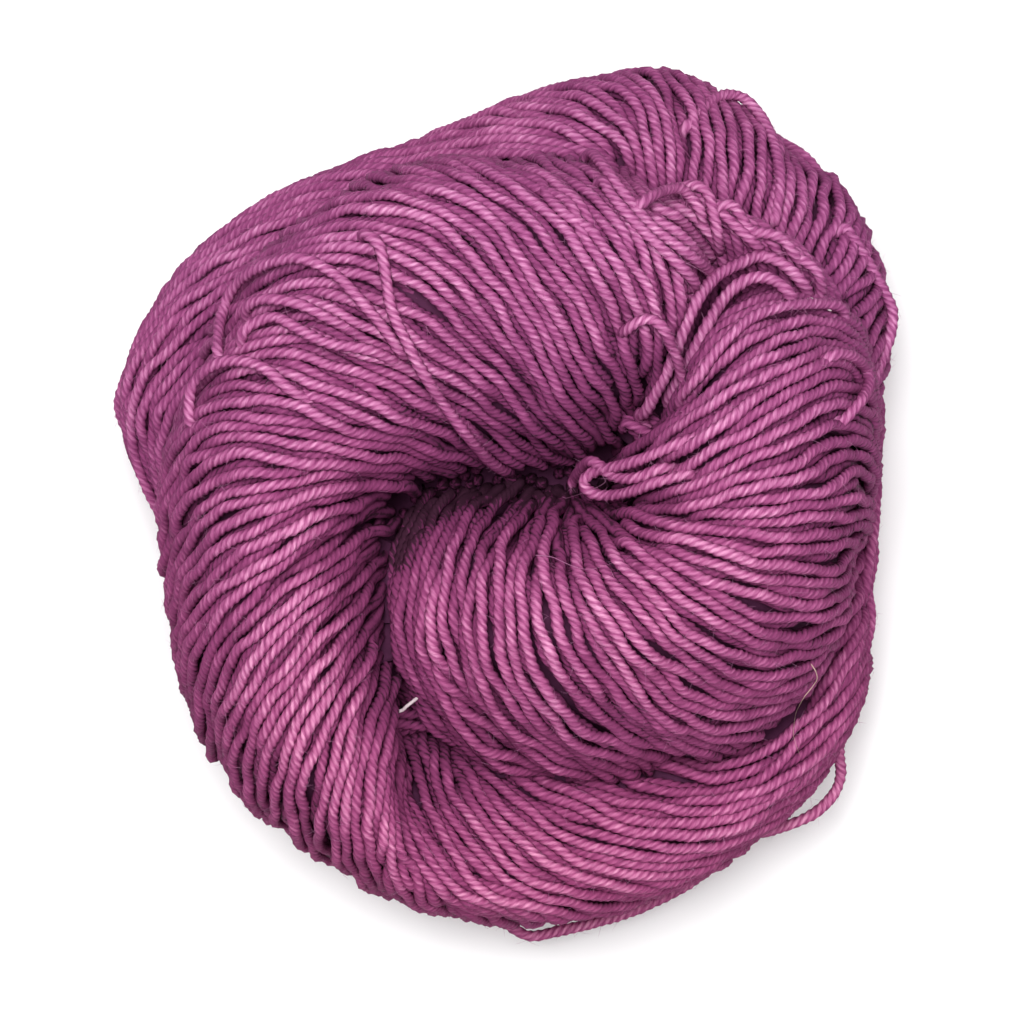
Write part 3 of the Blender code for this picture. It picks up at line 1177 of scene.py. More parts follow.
@dataclass(frozen=True)
class LooseTurn:
    """A turn that has slipped free of its bunch and lies on the others, or bridges them.

    One that rests has its lifts over the settled turns, in its own radii, and bridges
    gaps of up to twice `bridge` mm. Another has its levels in mm, and its ends are
    tucked in by `tucked` mm.
    """

    name: str
    spots: tuple[Spot, ...]
    resting: bool = True
    radius: float = YARN.radius
    tone: float = 0.3
    bridge: int = 3
    tucked: float = 6.0

    SUNK = 2.5
    STEEPEST = 0.5
    FINE_STEP, STEP = 1.0, 1.5
    # One openness for every loose turn, which sets its painted shade.
    OPENNESS = 0.76
    FINEST, RING_SHARE = 0.2, 0.66

    def _rest(self, points: Array, top: Callable[[float, float], float]) -> Array:
        """Lay the turn's points on the settled turns.

        Args:
            points: The points, with their lift as a fourth number; their levels are changed.
            top: The level of the settled turns over a spot.

        Returns:
            How far each is then to be sunk in.
        """
        levels = np.array([top(x, y) for x, y in points[:, :2]])
        wide = np.pad(levels, self.bridge, "edge")
        crest = np.max([wide[k:k + len(levels)] for k in range(2 * self.bridge + 1)], axis=0)
        points[:, 2] = averaged(crest, self.bridge) + np.maximum(points[:, 3], -1.0) * self.radius
        return np.minimum(points[:, 3] + 1.0, 0.0) * self.SUNK * self.radius

    def strand(
        self, piece: str, top: Callable[[float, float], float], outward: Callable[[Array], Array],
    ) -> Strand:
        """Lay the turn.

        Args:
            piece: The piece that the strand belongs to.
            top: The level of the settled turns over a spot.
            outward: The way out of the hank from points, with how deep each lies.

        Returns:
            The strand, with its way out straight up.
        """
        rows = np.array([[s.x, s.y, 0.0, s.lift] for s in self.spots])
        points = resample(rows, self.FINE_STEP)
        if self.resting:
            sunk = self._rest(points, top)
            away = outward(points[:, :3])[:, :3]
            away[:, 2] = np.maximum(away[:, 2], self.STEEPEST)
            line = points[:, :3] + unit(away) * sunk[:, None]
        else:
            points[:, 2] = points[:, 3]
            line = points[:, :3]
            inward = -outward(line)[:, :3] * self.tucked
            line = np.vstack([line[0] + inward[0], line, line[-1] + inward[-1]])
        line = resample(line, self.STEP)
        upright = np.tile([0.0, 0.0, 1.0, self.OPENNESS], (len(line), 1))
        spacing = np.full(len(line), max(self.FINEST, self.RING_SHARE * self.radius))
        log.info("%s: %s, %.0f mm", piece, self.name, self.STEP * (len(line) - 1))
        return Strand(line, piece, self.tone, self.radius, spacing=spacing, outward=upright)


def loose(name: str, *rows: tuple[float, float, float], **options: object) -> LooseTurn:
    """A loose turn from rows of x, y and lift."""
    return LooseTurn(name, tuple(Spot(*row) for row in rows), **options)


LOOSE_TURNS = (
    loose("crossing", (-25.6, 45.8, -2.5), (-23.9, 45.6, 0.2), (-21.9, 43.9, 0.8), (-20.9, 39.8, 0.8),
          (-19.8, 33.3, 0.8), (-17.1, 27.5, 0.8), (-14.4, 22.5, 0.8), (-9.5, 15.3, 0.8), (-4.2, 9.0, 0.4),
          (-1.0, 6.6, -1), (1.6, 4.6, -3)),
    loose("left_arch_long", (-48.4, 23.4, -2.5), (-48.9, 27.9, 0), (-48.4, 32.9, 0.9), (-46.8, 36.8, 0.9),
          (-43.8, 39.6, 0.9), (-39.6, 41.3, 0.9), (-34.6, 41.8, 0.9), (-29.3, 39.2, 0.9), (-25.2, 35.1, 0.9),
          (-21.0, 30.1, 0.5), (-16.9, 24.3, -2)),
    loose("left_arch_low", (-44.9, 25.6, -2.5), (-44.4, 29.7, 0.6), (-41.9, 31.4, 0.9), (-38.9, 32.1, 0.9),
          (-35.3, 30.2, 0.9), (-30.4, 27.8, 0.9), (-23.4, 26.6, 0.6), (-17.9, 24.2, -2)),
    loose("left_arch_high", (-44.1, 31.2, -2), (-43.8, 33.9, 0.3), (-40.8, 35.1, 0.9), (-35.3, 34.3, 0.9),
          (-30.5, 32.0, 0.5), (-25.8, 29.6, -2)),
    loose("left_arch_rim", (-53.3, 11.9, -2.5), (-53.6, 17.7, 0.3), (-52.8, 21.4, 0.9), (-49.1, 24.4, 0.9),
          (-44.9, 24.9, 0.9), (-40.8, 23.7, 0.9), (-36.6, 20.2, 0.6), (-31.9, 17.7, -2)),
    loose("top_edge_outer", (12.3, 61.2, -2), (14.7, 58.1, 0.5), (17.9, 53.4, 0.8), (22.8, 47.5, 0.8),
          (27.0, 44.2, 0.8), (31.3, 41.2, 0.8), (34.3, 39.0, -1.5)),
    loose("top_edge_inner", (14.3, 56.6, -2), (16.5, 52.2, 0.3), (21.1, 46.9, 0.6), (24.9, 43.3, 0.6),
          (29.2, 39.2, 0.3), (31.3, 36.7, -2)),
    loose("arch_first", (19.1, 49.2, -2.5), (21.2, 50.8, 0), (23.0, 52.3, 0.9), (25.8, 53.6, 0.9),
          (28.0, 54.0, 0.9), (29.8, 52.6, 0.9), (31.5, 50.2, 0.9), (32.2, 47.3, -1.5)),
    loose("arch_second", (26.2, 53.0, -2.5), (28.3, 54.3, 0.3), (31.2, 54.5, 0.9), (32.8, 53.0, 0.9),
          (33.7, 49.7, 0.9), (34.4, 46.4, 0.9), (34.9, 42.6, -2)),
    loose("arch_long", (32.8, 49.9, -2.5), (34.2, 50.7, 0.3), (36.5, 51.5, 0.9), (38.2, 49.6, 0.9),
          (39.9, 47.1, 0.9), (42.9, 46.6, 0.9), (45.3, 45.7, 0.9), (47.0, 43.6, 0.9), (48.9, 41.3, -1)),
    loose("arch_short", (33.8, 49.6, -2.5), (35.2, 49.9, 0.3), (37.3, 47.9, 0.6), (39.9, 45.6, 0.6),
          (42.5, 43.3, -2)),
    loose("arch_last", (46.0, 44.6, -2), (48.0, 42.8, 0.3), (50.5, 41.0, 0.9), (51.7, 39.1, 0.9),
          (51.9, 35.9, -1.5)),
    loose("shoulder_first", (22.4, 51.6, -2.5), (23.6, 50.7, 0), (27.7, 48.8, 0.7), (32.0, 44.6, 0.6),
          (34.6, 41.1, -2.5)),
    loose("shoulder_second", (25.2, 52.0, -2.5), (26.8, 51.4, 0), (30.2, 49.5, 0.6), (33.6, 46.0, 0.4),
          (35.4, 42.9, -2.5)),
    loose("shoulder_third", (22.8, 49.4, -2.5), (24.0, 48.3, 0.2), (27.7, 46.0, 0.8), (31.2, 42.6, 0.6),
          (33.4, 39.6, -2.5)),
    loose("thick_outer", (21.5, 14.6, -2.5), (23.1, 18.1, 0), (25.2, 22.0, 0.9), (27.0, 26.1, 0.9),
          (28.6, 30.2, 0.9), (30.8, 35.3, 0.9), (33.3, 38.5, 0.9), (35.6, 40.3, 0.9), (38.3, 41.6, 0.9),
          (41.1, 42.8, 0.9), (44.0, 42.3, 0.9), (46.6, 40.6, 0.9), (48.8, 38.2, 0.6), (50.6, 35.4, -2.5),
          radius=1.2, tone=0.8, bridge=6),
    loose("thick_inner", (24.8, 16.4, -2.5), (27.0, 20.8, 0.3), (30.6, 27.4, 0.9), (33.2, 32.3, 0.9),
          (35.5, 35.8, 0.9), (38.2, 38.2, 0.9), (41.2, 39.2, 0.9), (44.0, 38.4, 0.7), (46.2, 36.3, 0.3),
          (48.0, 33.4, -2.5), radius=1.2, tone=0.6, bridge=6),
    loose("front_upper", (26.5, 17.2, -2), (29.1, 20.5, 0.6), (31.0, 22.6, 0.9), (33.0, 25.6, 0.9),
          (36.5, 29.5, 0.9), (40.2, 32.4, 0.9), (46.3, 34.3, 0.9), (53.7, 34.6, 0.3), (56.8, 33.0, -2),
          tone=0.6),
    loose("small_arch", (17.5, 28.7, -2.5), (19.1, 30.2, 0), (21.1, 31.5, 0.9), (23.1, 31.7, 0.9),
          (25.0, 30.1, 0.9), (26.2, 27.7, 0.9), (27.6, 24.6, 0.6), (28.4, 21.0, -2)),
    loose("hook", (51.4, 25.0, -2), (54.2, 26.2, 0.3), (57.0, 25.6, 0.9), (58.9, 24.1, 0.7),
          (59.6, 21.7, 0.6), (58.3, 19.0, 0.7), (56.2, 16.6, 0.3), (54.4, 14.4, -2), bridge=1),
    loose("knot_hairpin", (31.7, 12.8, 84), (26.3, 10.8, 84), (21.1, 8.6, 81), (16.5, 7.3, 77),
          (13.6, 6.6, 74), (11.8, 5.1, 73), (12.9, 3.3, 73), (15.6, 2.7, 74), (19.5, 3.3, 78),
          (23.5, 4.8, 82), (28.9, 6.2, 84), resting=False, tone=0.6),
    loose("knot_curl", (10.6, 5.7, 62), (12.6, 8.3, 72), (14.6, 7.6, 75), (17.0, 5.8, 77), (20.4, 5.6, 80),
          (24.6, 7.2, 82), resting=False, tone=0.4),
    loose("loop_bottom", (-5.5, -67.9, 27), (-2.6, -69.8, 24), (0.2, -72.1, 22), (3.3, -73.6, 21),
          (8.3, -72.7, 20), (15.3, -71.1, 20), (22.0, -68.8, 21), (28.7, -65.6, 22), (34.6, -61.5, 24),
          (39.0, -57.9, 27), resting=False),
    loose("loop_right", (56.5, -37.3, 32), (56.3, -41.2, 29), (56.8, -44.7, 27), (56.1, -47.9, 26),
          (53.9, -50.7, 26), (51.0, -52.7, 27), (47.0, -54.2, 28), (43.0, -55.0, 31), (39.1, -54.0, 35),
          (35.9, -51.9, 38), (32.6, -49.1, 41), resting=False),
    loose("loop_top", (29.6, 65.4, 46), (32.4, 68.4, 42), (35.2, 71.0, 37), (38.2, 71.6, 34),
          (40.8, 70.3, 33), (43.3, 66.6, 36), (44.9, 62.2, 41), (45.5, 56.0, 47), (44.5, 49.5, 50),
          resting=False),
    loose("loop_far_right", (57.0, 48.6, 41), (59.4, 45.2, 39), (61.8, 41.2, 37), (64.1, 37.4, 35),
          (65.3, 34.4, 34), (64.9, 30.3, 34), (63.4, 26.0, 35), (61.6, 21.5, 37), resting=False),
)


TIE_THREAD = loose("tie_thread", (-18.8, -33.6, 55.2), (-18.1, -33.0, 56.2), (-16.6, -31.8, 56.9),
                   (-15.7, -31.1, 57.2), resting=False, radius=0.32, tucked=1.5)

FRAYED_ENDS = (
    loose("fray_left_first", (44.3, 33.6, 1), (45.6, 34.0, 2.5), (47.2, 34.6, 2.5), (48.6, 34.9, 1),
          radius=0.3),
    loose("fray_left_second", (45.0, 33.9, 2), (46.6, 34.6, 5), (48.4, 35.2, 5), (49.3, 35.5, 2),
          radius=0.14),
    loose("fray_right_first", (49.8, 35.8, 1), (50.6, 35.3, 2.5), (51.8, 34.6, 2.5), (53.0, 33.8, 1),
          radius=0.3),
    loose("fray_right_second", (50.6, 35.0, 2), (51.8, 34.2, 5), (53.4, 33.6, 4), radius=0.14),
)

STRAY_FIBRE = loose("stray_fibre", (50.0, -25.4, 2), (50.6, -26.3, 9), (51.2, -28.0, 10), (50.3, -29.7, 9),
                    (49.2, -31.1, 8), (48.6, -33.3, 8), (47.9, -35.6, 8), (47.7, -37.8, 9), (48.3, -39.9, 8),
                    (49.0, -41.6, 3), radius=0.08, bridge=1)

LONG_HAIRS = (
    loose("hair_arch", (22.5, 45.2, 2), (23.6, 43.2, 9), (25.1, 42.3, 10), (27.8, 41.5, 9), (31.3, 40.0, 9),
          (33.6, 38.5, 3), radius=0.07),
    loose("hair_fold", (3.8, -7.1, 3), (6.6, -7.4, 9), (9.5, -8.7, 9), (12.8, -9.4, 9), (16.9, -8.2, 3),
          radius=0.07),
    loose("hair_knot", (8.1, 2.0, 60), (11.6, 3.1, 75.5), (15.0, 4.6, 78), (16.0, 6.1, 79),
          resting=False, radius=0.07),
    loose("hair_rim", (43.0, 42.8, 3), (45.8, 43.5, 10), (48.4, 43.0, 3), radius=0.07),
    loose("hair_short", (31.5, 33.3, 3), (32.1, 31.6, 10), (32.3, 29.9, 3), radius=0.07),
)


@dataclass(frozen=True)
class TubeStyle:
    """How a set of lines is turned into tubes."""

    sides: int = 8
    plies: int = YARN.plies
    pitch: float = YARN.pitch
    depth: float = YARN.ply_depth
    slub: float = 0.07
    twist: Twist = YARN.twist
    taper: bool = False
    crease: float = 1.5

    def profile(self) -> Array:
        """Shape the section of the tube.

        Returns:
            The reach of each corner round it: full on a ply, less between two.
        """
        turn = np.arange(self.sides) / self.sides * self.plies
        dip = (1 - np.abs(np.sin(math.pi * turn))) ** self.crease if self.plies else np.zeros(self.sides)
        return 1 - self.depth * dip


class TubeMesh:
    """Many tubes written into one mesh, with a UV map that follows the plies.

    The plies fade out where the rings are too far apart to show them. The waves are
    pairs of share and length.
    """

    NO_PLIES, FADE = 1.45, 0.5
    COILED = 1.4
    COIL_WAVE = (0.4, 3.7)
    SLUB_WAVES = ((0.6, 1.9), (0.4, 0.75))
    END = 0.45
    TIP_FROM, TIP = 1.15, 0.15
    PER_UV = 10.0

    def __init__(self, style: TubeStyle) -> None:
        """Start an empty set of tubes.

        Args:
            style: How the tubes are shaped.
        """
        self.style = style
        self.lines: list[Array] = []
        self.radii: list[float] = []
        self.tones: list[float] = []

    def add(self, strand: Strand) -> None:
        """Add one strand.

        Args:
            strand: The strand, with its spacing and way out.
        """
        self.lines.append(resample(np.column_stack([strand.points, strand.outward]), strand.spacing))
        self.radii.append(strand.radius)
        self.tones.append(strand.tone)

    @staticmethod
    def _frames(centres: Array, counts: Array) -> tuple[Array, Array]:
        """Carry two directions square to each line along it without turning.

        Args:
            centres: The centres of the rings, a row for each tube.
            counts: How many rings each tube has.

        Returns:
            Both directions for each ring.
        """
        ahead = np.empty_like(centres)
        ahead[:, 1:-1] = centres[:, 2:] - centres[:, :-2]
        ahead[:, 0] = centres[:, 1] - centres[:, 0]
        ahead[:, -1] = centres[:, -1] - centres[:, -2]
        lines, ends = np.arange(len(centres)), counts - 1
        ahead[lines, ends] = centres[lines, ends] - centres[lines, ends - 1]
        ahead = unit(ahead)
        side = square_to(ahead[:, 0])
        sides = np.empty_like(centres)
        for i in range(centres.shape[1]):
            side = unit(side - np.sum(side * ahead[:, i], axis=1, keepdims=True) * ahead[:, i])
            sides[:, i] = side
        return sides, np.cross(ahead, sides)

    def _rows(self, counts: Array) -> Array:
        """Bring all lines to one length by running them on past their ends.

        Args:
            counts: How many rings each tube has.

        Returns:
            The rows of numbers, tube by tube.
        """
        longest = int(counts.max())
        rows = np.zeros((len(self.lines), longest, 7))
        for k, line in enumerate(self.lines):
            rows[k, :len(line)] = line
            beyond = np.arange(1, longest - len(line) + 1)[:, None]
            rows[k, len(line):] = line[-1] + (line[-1] - line[-2]) * beyond
        return rows

    def _reach(self, run: Array, spaced: Array, counts: Array, phases: Array) -> Array:
        """Work out how far each corner is from its line.

        Args:
            run: The distance of each ring from its tube's start.
            spaced: The distance to the ring before.
            counts: How many rings each tube has.
            phases: The phases of both waves of the slubs, for each tube.

        Returns:
            The reach of each corner of each ring.
        """
        style, lines = self.style, np.arange(len(counts))
        (thick, far), (thin, close) = self.SLUB_WAVES
        swell = thick * np.sin(run / far + phases[0]) + thin * np.sin(run / close + phases[1])
        slub = 1 + style.slub * swell
        slub[lines, 0] *= self.END
        slub[lines, counts - 1] *= self.END
        crisp = np.clip((self.NO_PLIES - spaced) / self.FADE, 0.0, 1.0)
        reach = 1 - (1 - style.profile()[None, None, :]) * crisp[:, :, None]
        reach = reach * np.array(self.radii)[:, None, None] * slub[:, :, None]
        if style.taper:
            share = np.arange(run.shape[1])[None, :] / np.maximum(counts - 1, 1)[:, None]
            reach = reach * np.clip(self.TIP_FROM - share, self.TIP, 1.0)[:, :, None]
        return reach

    def build(self, name: str) -> bpy.types.Mesh:
        """Write the tubes.

        Args:
            name: The name of the new mesh.

        Returns:
            The mesh, smooth-shaded, with its UV map, tone and openness; the openness sets painted shade.
        """
        style = self.style
        counts = np.array([len(line) for line in self.lines])
        rows = self._rows(counts)
        centres, outward, bare = rows[:, :, :3], unit(rows[:, :, 3:6]), rows[:, :, 6]
        side, up = self._frames(centres, counts)
        step = np.linalg.norm(np.diff(centres, axis=1), axis=2)
        run = np.concatenate([np.zeros((len(counts), 1)), np.cumsum(step, axis=1)], axis=1)
        spaced = np.concatenate([step[:, :1], step], axis=1)
        phase = np.random.default_rng(len(counts)).uniform(0, 2 * math.pi, (4, len(counts), 1))
        coil = 0 * run
        if style.plies:
            sway, length = self.COIL_WAVE
            coiled = np.cumsum(spaced * (spaced < self.COILED), axis=1)
            coil = style.twist.value * 2 * math.pi * coiled / style.pitch
            coil = coil + sway * np.sin(run / length + phase[1])
        turn = 2 * math.pi * np.arange(style.sides) / style.sides
        angle = turn[None, None, :] + coil[:, :, None] + phase[0][:, :, None]
        reach = self._reach(run, spaced, counts, phase[2:])
        ring = side[:, :, None] * np.cos(angle)[..., None] + up[:, :, None] * np.sin(angle)[..., None]
        corners = centres[:, :, None] + ring * reach[..., None]
        # Painted shade: a corner facing into the hank, on a strand shut in by others, gets a darker colour.
        facing = np.sum(ring * outward[:, :, None], axis=3)
        painted_light = (0.5 + 0.5 * facing) * bare[:, :, None]
        real = np.arange(run.shape[1])[None, :] < counts[:, None]
        return self._write(name, corners[real].reshape(-1, 3) * MM, counts, run[real], painted_light[real].ravel())

    def _write(
        self, name: str, verts: Array, counts: Array, run: Array, painted_light: Array,
    ) -> bpy.types.Mesh:
        """Write corners, faces, end caps, the UV map and what sets each corner apart.

        Args:
            name: The name of the new mesh.
            verts: The corners in metres, ring by ring.
            counts: How many rings each tube has.
            run: The distance of each ring from its tube's start, in mm.
            painted_light: How open each corner lies to the outside, 1 at most.

        Returns:
            The mesh.
        """
        sides = self.style.sides
        first = np.concatenate([[0], np.cumsum(counts)[:-1]])
        ends = np.column_stack([first, first + counts - 1]).ravel()
        spans = np.concatenate([np.arange(f, f + c - 1) for f, c in zip(first, counts)])
        here = np.repeat(spans, sides)
        corner = np.tile(np.arange(sides), len(spans))
        after = (corner + 1) % sides
        quads = np.column_stack([
            here * sides + corner, here * sides + after,
            (here + 1) * sides + after, (here + 1) * sides + corner,
        ])
        caps = ends[:, None] * sides + np.arange(sides)
        caps[::2] = caps[::2, ::-1]
        mesh = bpy.data.meshes.new(name)
        mesh.vertices.add(len(verts))
        mesh.vertices.foreach_set("co", verts.astype(np.float32).ravel())
        loops = np.concatenate([quads.ravel(), caps.ravel()])
        mesh.loops.add(len(loops))
        mesh.loops.foreach_set("vertex_index", loops.astype(np.int32))
        sizes = np.concatenate([np.full(len(quads), 4), np.full(len(caps), sides)])
        starts = np.concatenate([[0], np.cumsum(sizes)[:-1]])
        mesh.polygons.add(len(sizes))
        mesh.polygons.foreach_set("loop_start", starts.astype(np.int32))
        mesh.polygons.foreach_set("use_smooth", np.ones(len(sizes), bool))
        mesh.update(calc_edges=True)
        length = run / self.PER_UV
        around = np.column_stack([corner, corner + 1, corner + 1, corner]) / sides
        along = np.column_stack([length[here], length[here], length[here + 1], length[here + 1]])
        cap_around = np.tile(np.arange(sides) / sides, len(caps))
        uv = np.vstack([
            np.column_stack([around.ravel(), along.ravel()]),
            np.column_stack([cap_around, np.repeat(length[ends], sides)]),
        ])
        mesh.uv_layers.new(name="ply").uv.foreach_set("vector", uv.astype(np.float32).ravel())
        tones = np.repeat(np.repeat(self.tones, counts), sides)
        for label, values in (("tone", tones), ("open", painted_light)):
            layer = mesh.attributes.new(label, "FLOAT", "POINT")
            layer.data.foreach_set("value", values.astype(np.float32))
        mesh.validate()
        return mesh


@dataclass(frozen=True)
class Fuzz:
    """Fine fibres that stand off the yarn all over the part that shows."""

    count: int = 12000
    radius: float = 0.03
    shortest: float = 0.7
    longest: float = 2.8
    sparse: float = 0.12
    root: float = 0.85
    slant: float = 0.8
    lift: Pair = (0.05, 0.5)
    stray: float = 0.5
    droop: float = 0.5
    bow: float = 0.6
    seed: int = 41

    def strands(self, turns: Sequence[Strand]) -> list[Strand]:
        """Grow the fibres.

        Args:
            turns: The turns of yarn they grow on, with their spacing and way out.

        Returns:
            One short, thin, bent strand for each fibre.
        """
        rng = np.random.default_rng(self.seed)
        points = np.vstack([t.points for t in turns])
        along = np.vstack([unit(np.gradient(t.points, axis=0)) for t in turns])
        outward = np.vstack([t.outward for t in turns])
        fine = np.concatenate([t.spacing for t in turns]) <= Detail.NEAR.value
        weight = np.where(fine, 1.0, self.sparse) * np.maximum(outward[:, 3], 0.0) ** 2
        share = np.linspace(0, 1, 3)[:, None]
        upright = np.tile([0.0, 0.0, 1.0, 1.0], (3, 1))
        grown = []
        for pick in rng.choice(len(points), self.count, p=weight / weight.sum()):
            run, out = along[pick], unit(outward[pick, :3])
            side = unit(np.cross(run, out))
            lean = rng.normal(0.0, self.slant)
            up = out * math.cos(lean) + side * math.sin(lean)
            start = points[pick] + up * YARN.radius * self.root
            head = run * rng.normal(0, 1.0) + up * rng.uniform(*self.lift) + side * rng.normal(0, self.stray)
            bend = unit(rng.normal(0, 1, 3)) - self.droop * up
            length = self.shortest + (self.longest - self.shortest) * rng.random() ** 2
            line = start + unit(head) * share * length + bend * share ** 2 * length * self.bow
            line[:, 2] = np.maximum(line[:, 2], self.radius)
            spacing = np.full(3, length / 2)
            tone = float(rng.normal())
            grown.append(Strand(line, "fuzz", tone, self.radius, spacing=spacing, outward=upright))
        return grown


@dataclass(frozen=True)
class Weight:
    """How much a mask counts in a sum, and the value at which it counts nothing."""

    amount: float
    middle: float = 0.0


@dataclass(frozen=True)
class Shade:
    """A colour in linear light at its place in a row of shades from 0 to 1."""

    place: float
    colour: Colour


class Bench:
    """A small workbench for building node trees in order."""

    def __init__(self, tree: bpy.types.NodeTree) -> None:
        """Work on one node tree."""
        self.tree = tree

    def fill(self, node: bpy.types.Node, values: dict) -> None:
        """Fill or link a node's inputs.

        Args:
            node: The node.
            values: Input name or number to a value or to a socket to link.
        """
        for key, value in values.items():
            self.feed(node.inputs[key], value)

    def feed(self, entry: Socket, value: object) -> None:
        """Link one input to a socket, or set its value.

        Args:
            entry: The input.
            value: The value or the socket.
        """
        if isinstance(value, Socket):
            self.tree.links.new(value, entry)
        else:
            entry.default_value = value

    def node(self, kind: str, values: Optional[dict] = None, **settings: object) -> bpy.types.Node:
        """Add a node, set its settings, and fill or link its inputs.

        Args:
            kind: The node's type name.
            values: Input name or number to a value or to a socket to link.
            settings: Attributes of the node.

        Returns:
            The new node.
        """
        made = self.tree.nodes.new(kind)
        for name, setting in settings.items():
            setattr(made, name, setting)
        self.fill(made, values or {})
        return made

    def effect(self, shared: "Effect", values: dict) -> Sockets:
        """Place a shared effect with its own values, for its outputs."""
        return self.node("ShaderNodeGroup", values, node_tree=shared.group()).outputs

    def maths(self, operation: str, *values: object) -> Socket:
        """A Math node's result."""
        return self.node("ShaderNodeMath", dict(enumerate(values)), operation=operation).outputs[0]

    def noise(self, place: object, scale: float, detail: float, roughness: float = 0.5) -> Socket:
        """A Noise texture's value at `place`."""
        values = {"Vector": place, "Scale": scale, "Detail": detail, "Roughness": roughness}
        return self.node("ShaderNodeTexNoise", values).outputs["Fac"]

    def fitted(self, value: Socket, ends: dict[str, float]) -> Socket:
        """A value brought from one range to another, each 0 to 1 but for the ends that are given."""
        return self.node("ShaderNodeMapRange", {"Value": value, **ends}).outputs[0]

    def bump(self, height: Socket, strength: float, distance: float) -> Socket:
        """A normal bent by `height`, with its distance in metres."""
        values = {"Height": height, "Strength": strength, "Distance": distance}
        return self.node("ShaderNodeBump", values).outputs[0]

    def weighed(self, parts: Iterable[tuple[Socket, Weight]]) -> Socket:
        """Add masks up.

        Args:
            parts: Each mask with its weight.

        Returns:
            The sum of the masks, each less its middle and times its amount.
        """
        total: object = 0.0
        for socket, weight in parts:
            part = self.maths("MULTIPLY_ADD", socket, weight.amount, -weight.amount * weight.middle)
            total = self.maths("ADD", total, part)
        return total

    def ramp(self, value: Socket, shades: Sequence[Shade]) -> Socket:
        """Read a colour from a row of shades.

        Args:
            value: Where to read, from 0 to 1.
            shades: The shades in order.

        Returns:
            The colour.
        """
        made = self.node("ShaderNodeValToRGB", {"Fac": value})
        row = made.color_ramp.elements
        for element, shade in ((row[0], shades[0]), (row[1], shades[-1])):
            element.position, element.color = shade.place, shade.colour
        for shade in shades[1:-1]:
            row.new(shade.place).color = shade.colour
        return made.outputs["Color"]

    def blend(self, share: object, low: object, high: object, mode: str = "MIX") -> Socket:
        """Mix two colours.

        Args:
            share: How much of `high` there is, 0 to 1.
            low: A colour or a socket.
            high: A colour or a socket.
            mode: Blender's name of the way to mix.

        Returns:
            The colour.
        """
        made = self.node("ShaderNodeMix", data_type="RGBA", blend_type=mode)
        for key, value in (("Factor", share), ("A", low), ("B", high)):
            self.feed(next(entry for entry in made.inputs if entry.name == key and entry.enabled), value)
        return next(result for result in made.outputs if result.enabled)


@dataclass(frozen=True)
class Effect:
    """An effect that finishes share: a node group with named inputs and outputs, made once."""

    name: str
    inputs: tuple[tuple[str, str], ...]
    outputs: tuple[str, ...]

    def group(self) -> bpy.types.NodeTree:
        """Make the effect, or find it.

        Returns:
            The node group.
        """
        if self.name in bpy.data.node_groups:
            return bpy.data.node_groups[self.name]
        tree = bpy.data.node_groups.new(self.name, "ShaderNodeTree")
        for label, kind in self.inputs:
            tree.interface.new_socket(name=label, in_out="INPUT", socket_type=kind)
        for label in self.outputs:
            tree.interface.new_socket(name=label, in_out="OUTPUT", socket_type="NodeSocketFloat")
        bench = Bench(tree)
        bench.node("NodeGroupOutput", self.wire(bench, bench.node("NodeGroupInput").outputs))
        return tree

    def wire(self, bench: Bench, entry: Sockets) -> dict[str, Socket]:
        """Build the nodes between the group's `entry` and its outputs, by name."""
        raise NotImplementedError


@dataclass(frozen=True)
class PlyRelief(Effect):
    """The shared effect of plied yarn: its plies, their uneven dye and their fibres.

    The map's X runs once round the yarn with the plies and its Y is centimetres along.
    Patches and fibres have how fast they change along and how many finer layers they have.
    """

    name: str = "ply_relief"
    inputs: tuple = (("UV", "NodeSocketVector"), ("Plies", "NodeSocketFloat"), ("Streak", "NodeSocketFloat"))
    outputs: tuple = ("Crest", "Mottle", "Fibre", "Height")
    patch_width: float = 0.9
    patches: Pair = (6.0, 1.0)
    fibres: Pair = (5.0, 3.0)
    roughness: float = 0.6
    crest_height: Weight = Weight(0.6)
    fibre_height: Weight = Weight(0.8)

    def wire(self, bench: Bench, entry: Sockets) -> dict[str, Socket]:
        """Build the nodes.

        Args:
            bench: Where the nodes are added.
            entry: The group's inputs.

        Returns:
            The group's outputs by name.
        """
        split = bench.node("ShaderNodeSeparateXYZ", {0: entry["UV"]})
        around, along = split.outputs["X"], split.outputs["Y"]
        phase = bench.maths("MULTIPLY", bench.maths("MULTIPLY", around, entry["Plies"]), math.pi)
        crest = bench.maths("ABSOLUTE", bench.maths("SINE", phase))
        circle = bench.maths("MULTIPLY", around, 2 * math.pi)
        untwisting = bench.maths("MULTIPLY", along, 2 * math.pi * TubeMesh.PER_UV / YARN.pitch)
        spun = bench.maths("ADD", circle, untwisting)
        patches = self._round(bench, circle, along, self.patch_width, self.patches)
        fibres = self._round(bench, spun, along, entry["Streak"], self.fibres)
        height = bench.weighed(((crest, self.crest_height), (fibres, self.fibre_height)))
        return {"Crest": crest, "Mottle": patches, "Fibre": fibres, "Height": height}

    def _round(
        self, bench: Bench, turn: Socket, along: Socket, width: object,
        grain: Pair,
    ) -> Socket:
        """Noise that closes round the yarn.

        Args:
            bench: Where the nodes are added.
            turn: The angle round the yarn.
            along: Centimetres along it.
            width: How fast the noise changes round the yarn, a number or a socket.
            grain: How fast it changes along, and how many finer layers it has.

        Returns:
            The noise, 0 to 1.
        """
        place = bench.node("ShaderNodeCombineXYZ", {
            0: bench.maths("MULTIPLY", bench.maths("COSINE", turn), width),
            1: bench.maths("MULTIPLY", bench.maths("SINE", turn), width),
            2: bench.maths("MULTIPLY", along, grain[0]),
        })
        return bench.noise(place.outputs[0], 1.0, grain[1], self.roughness)


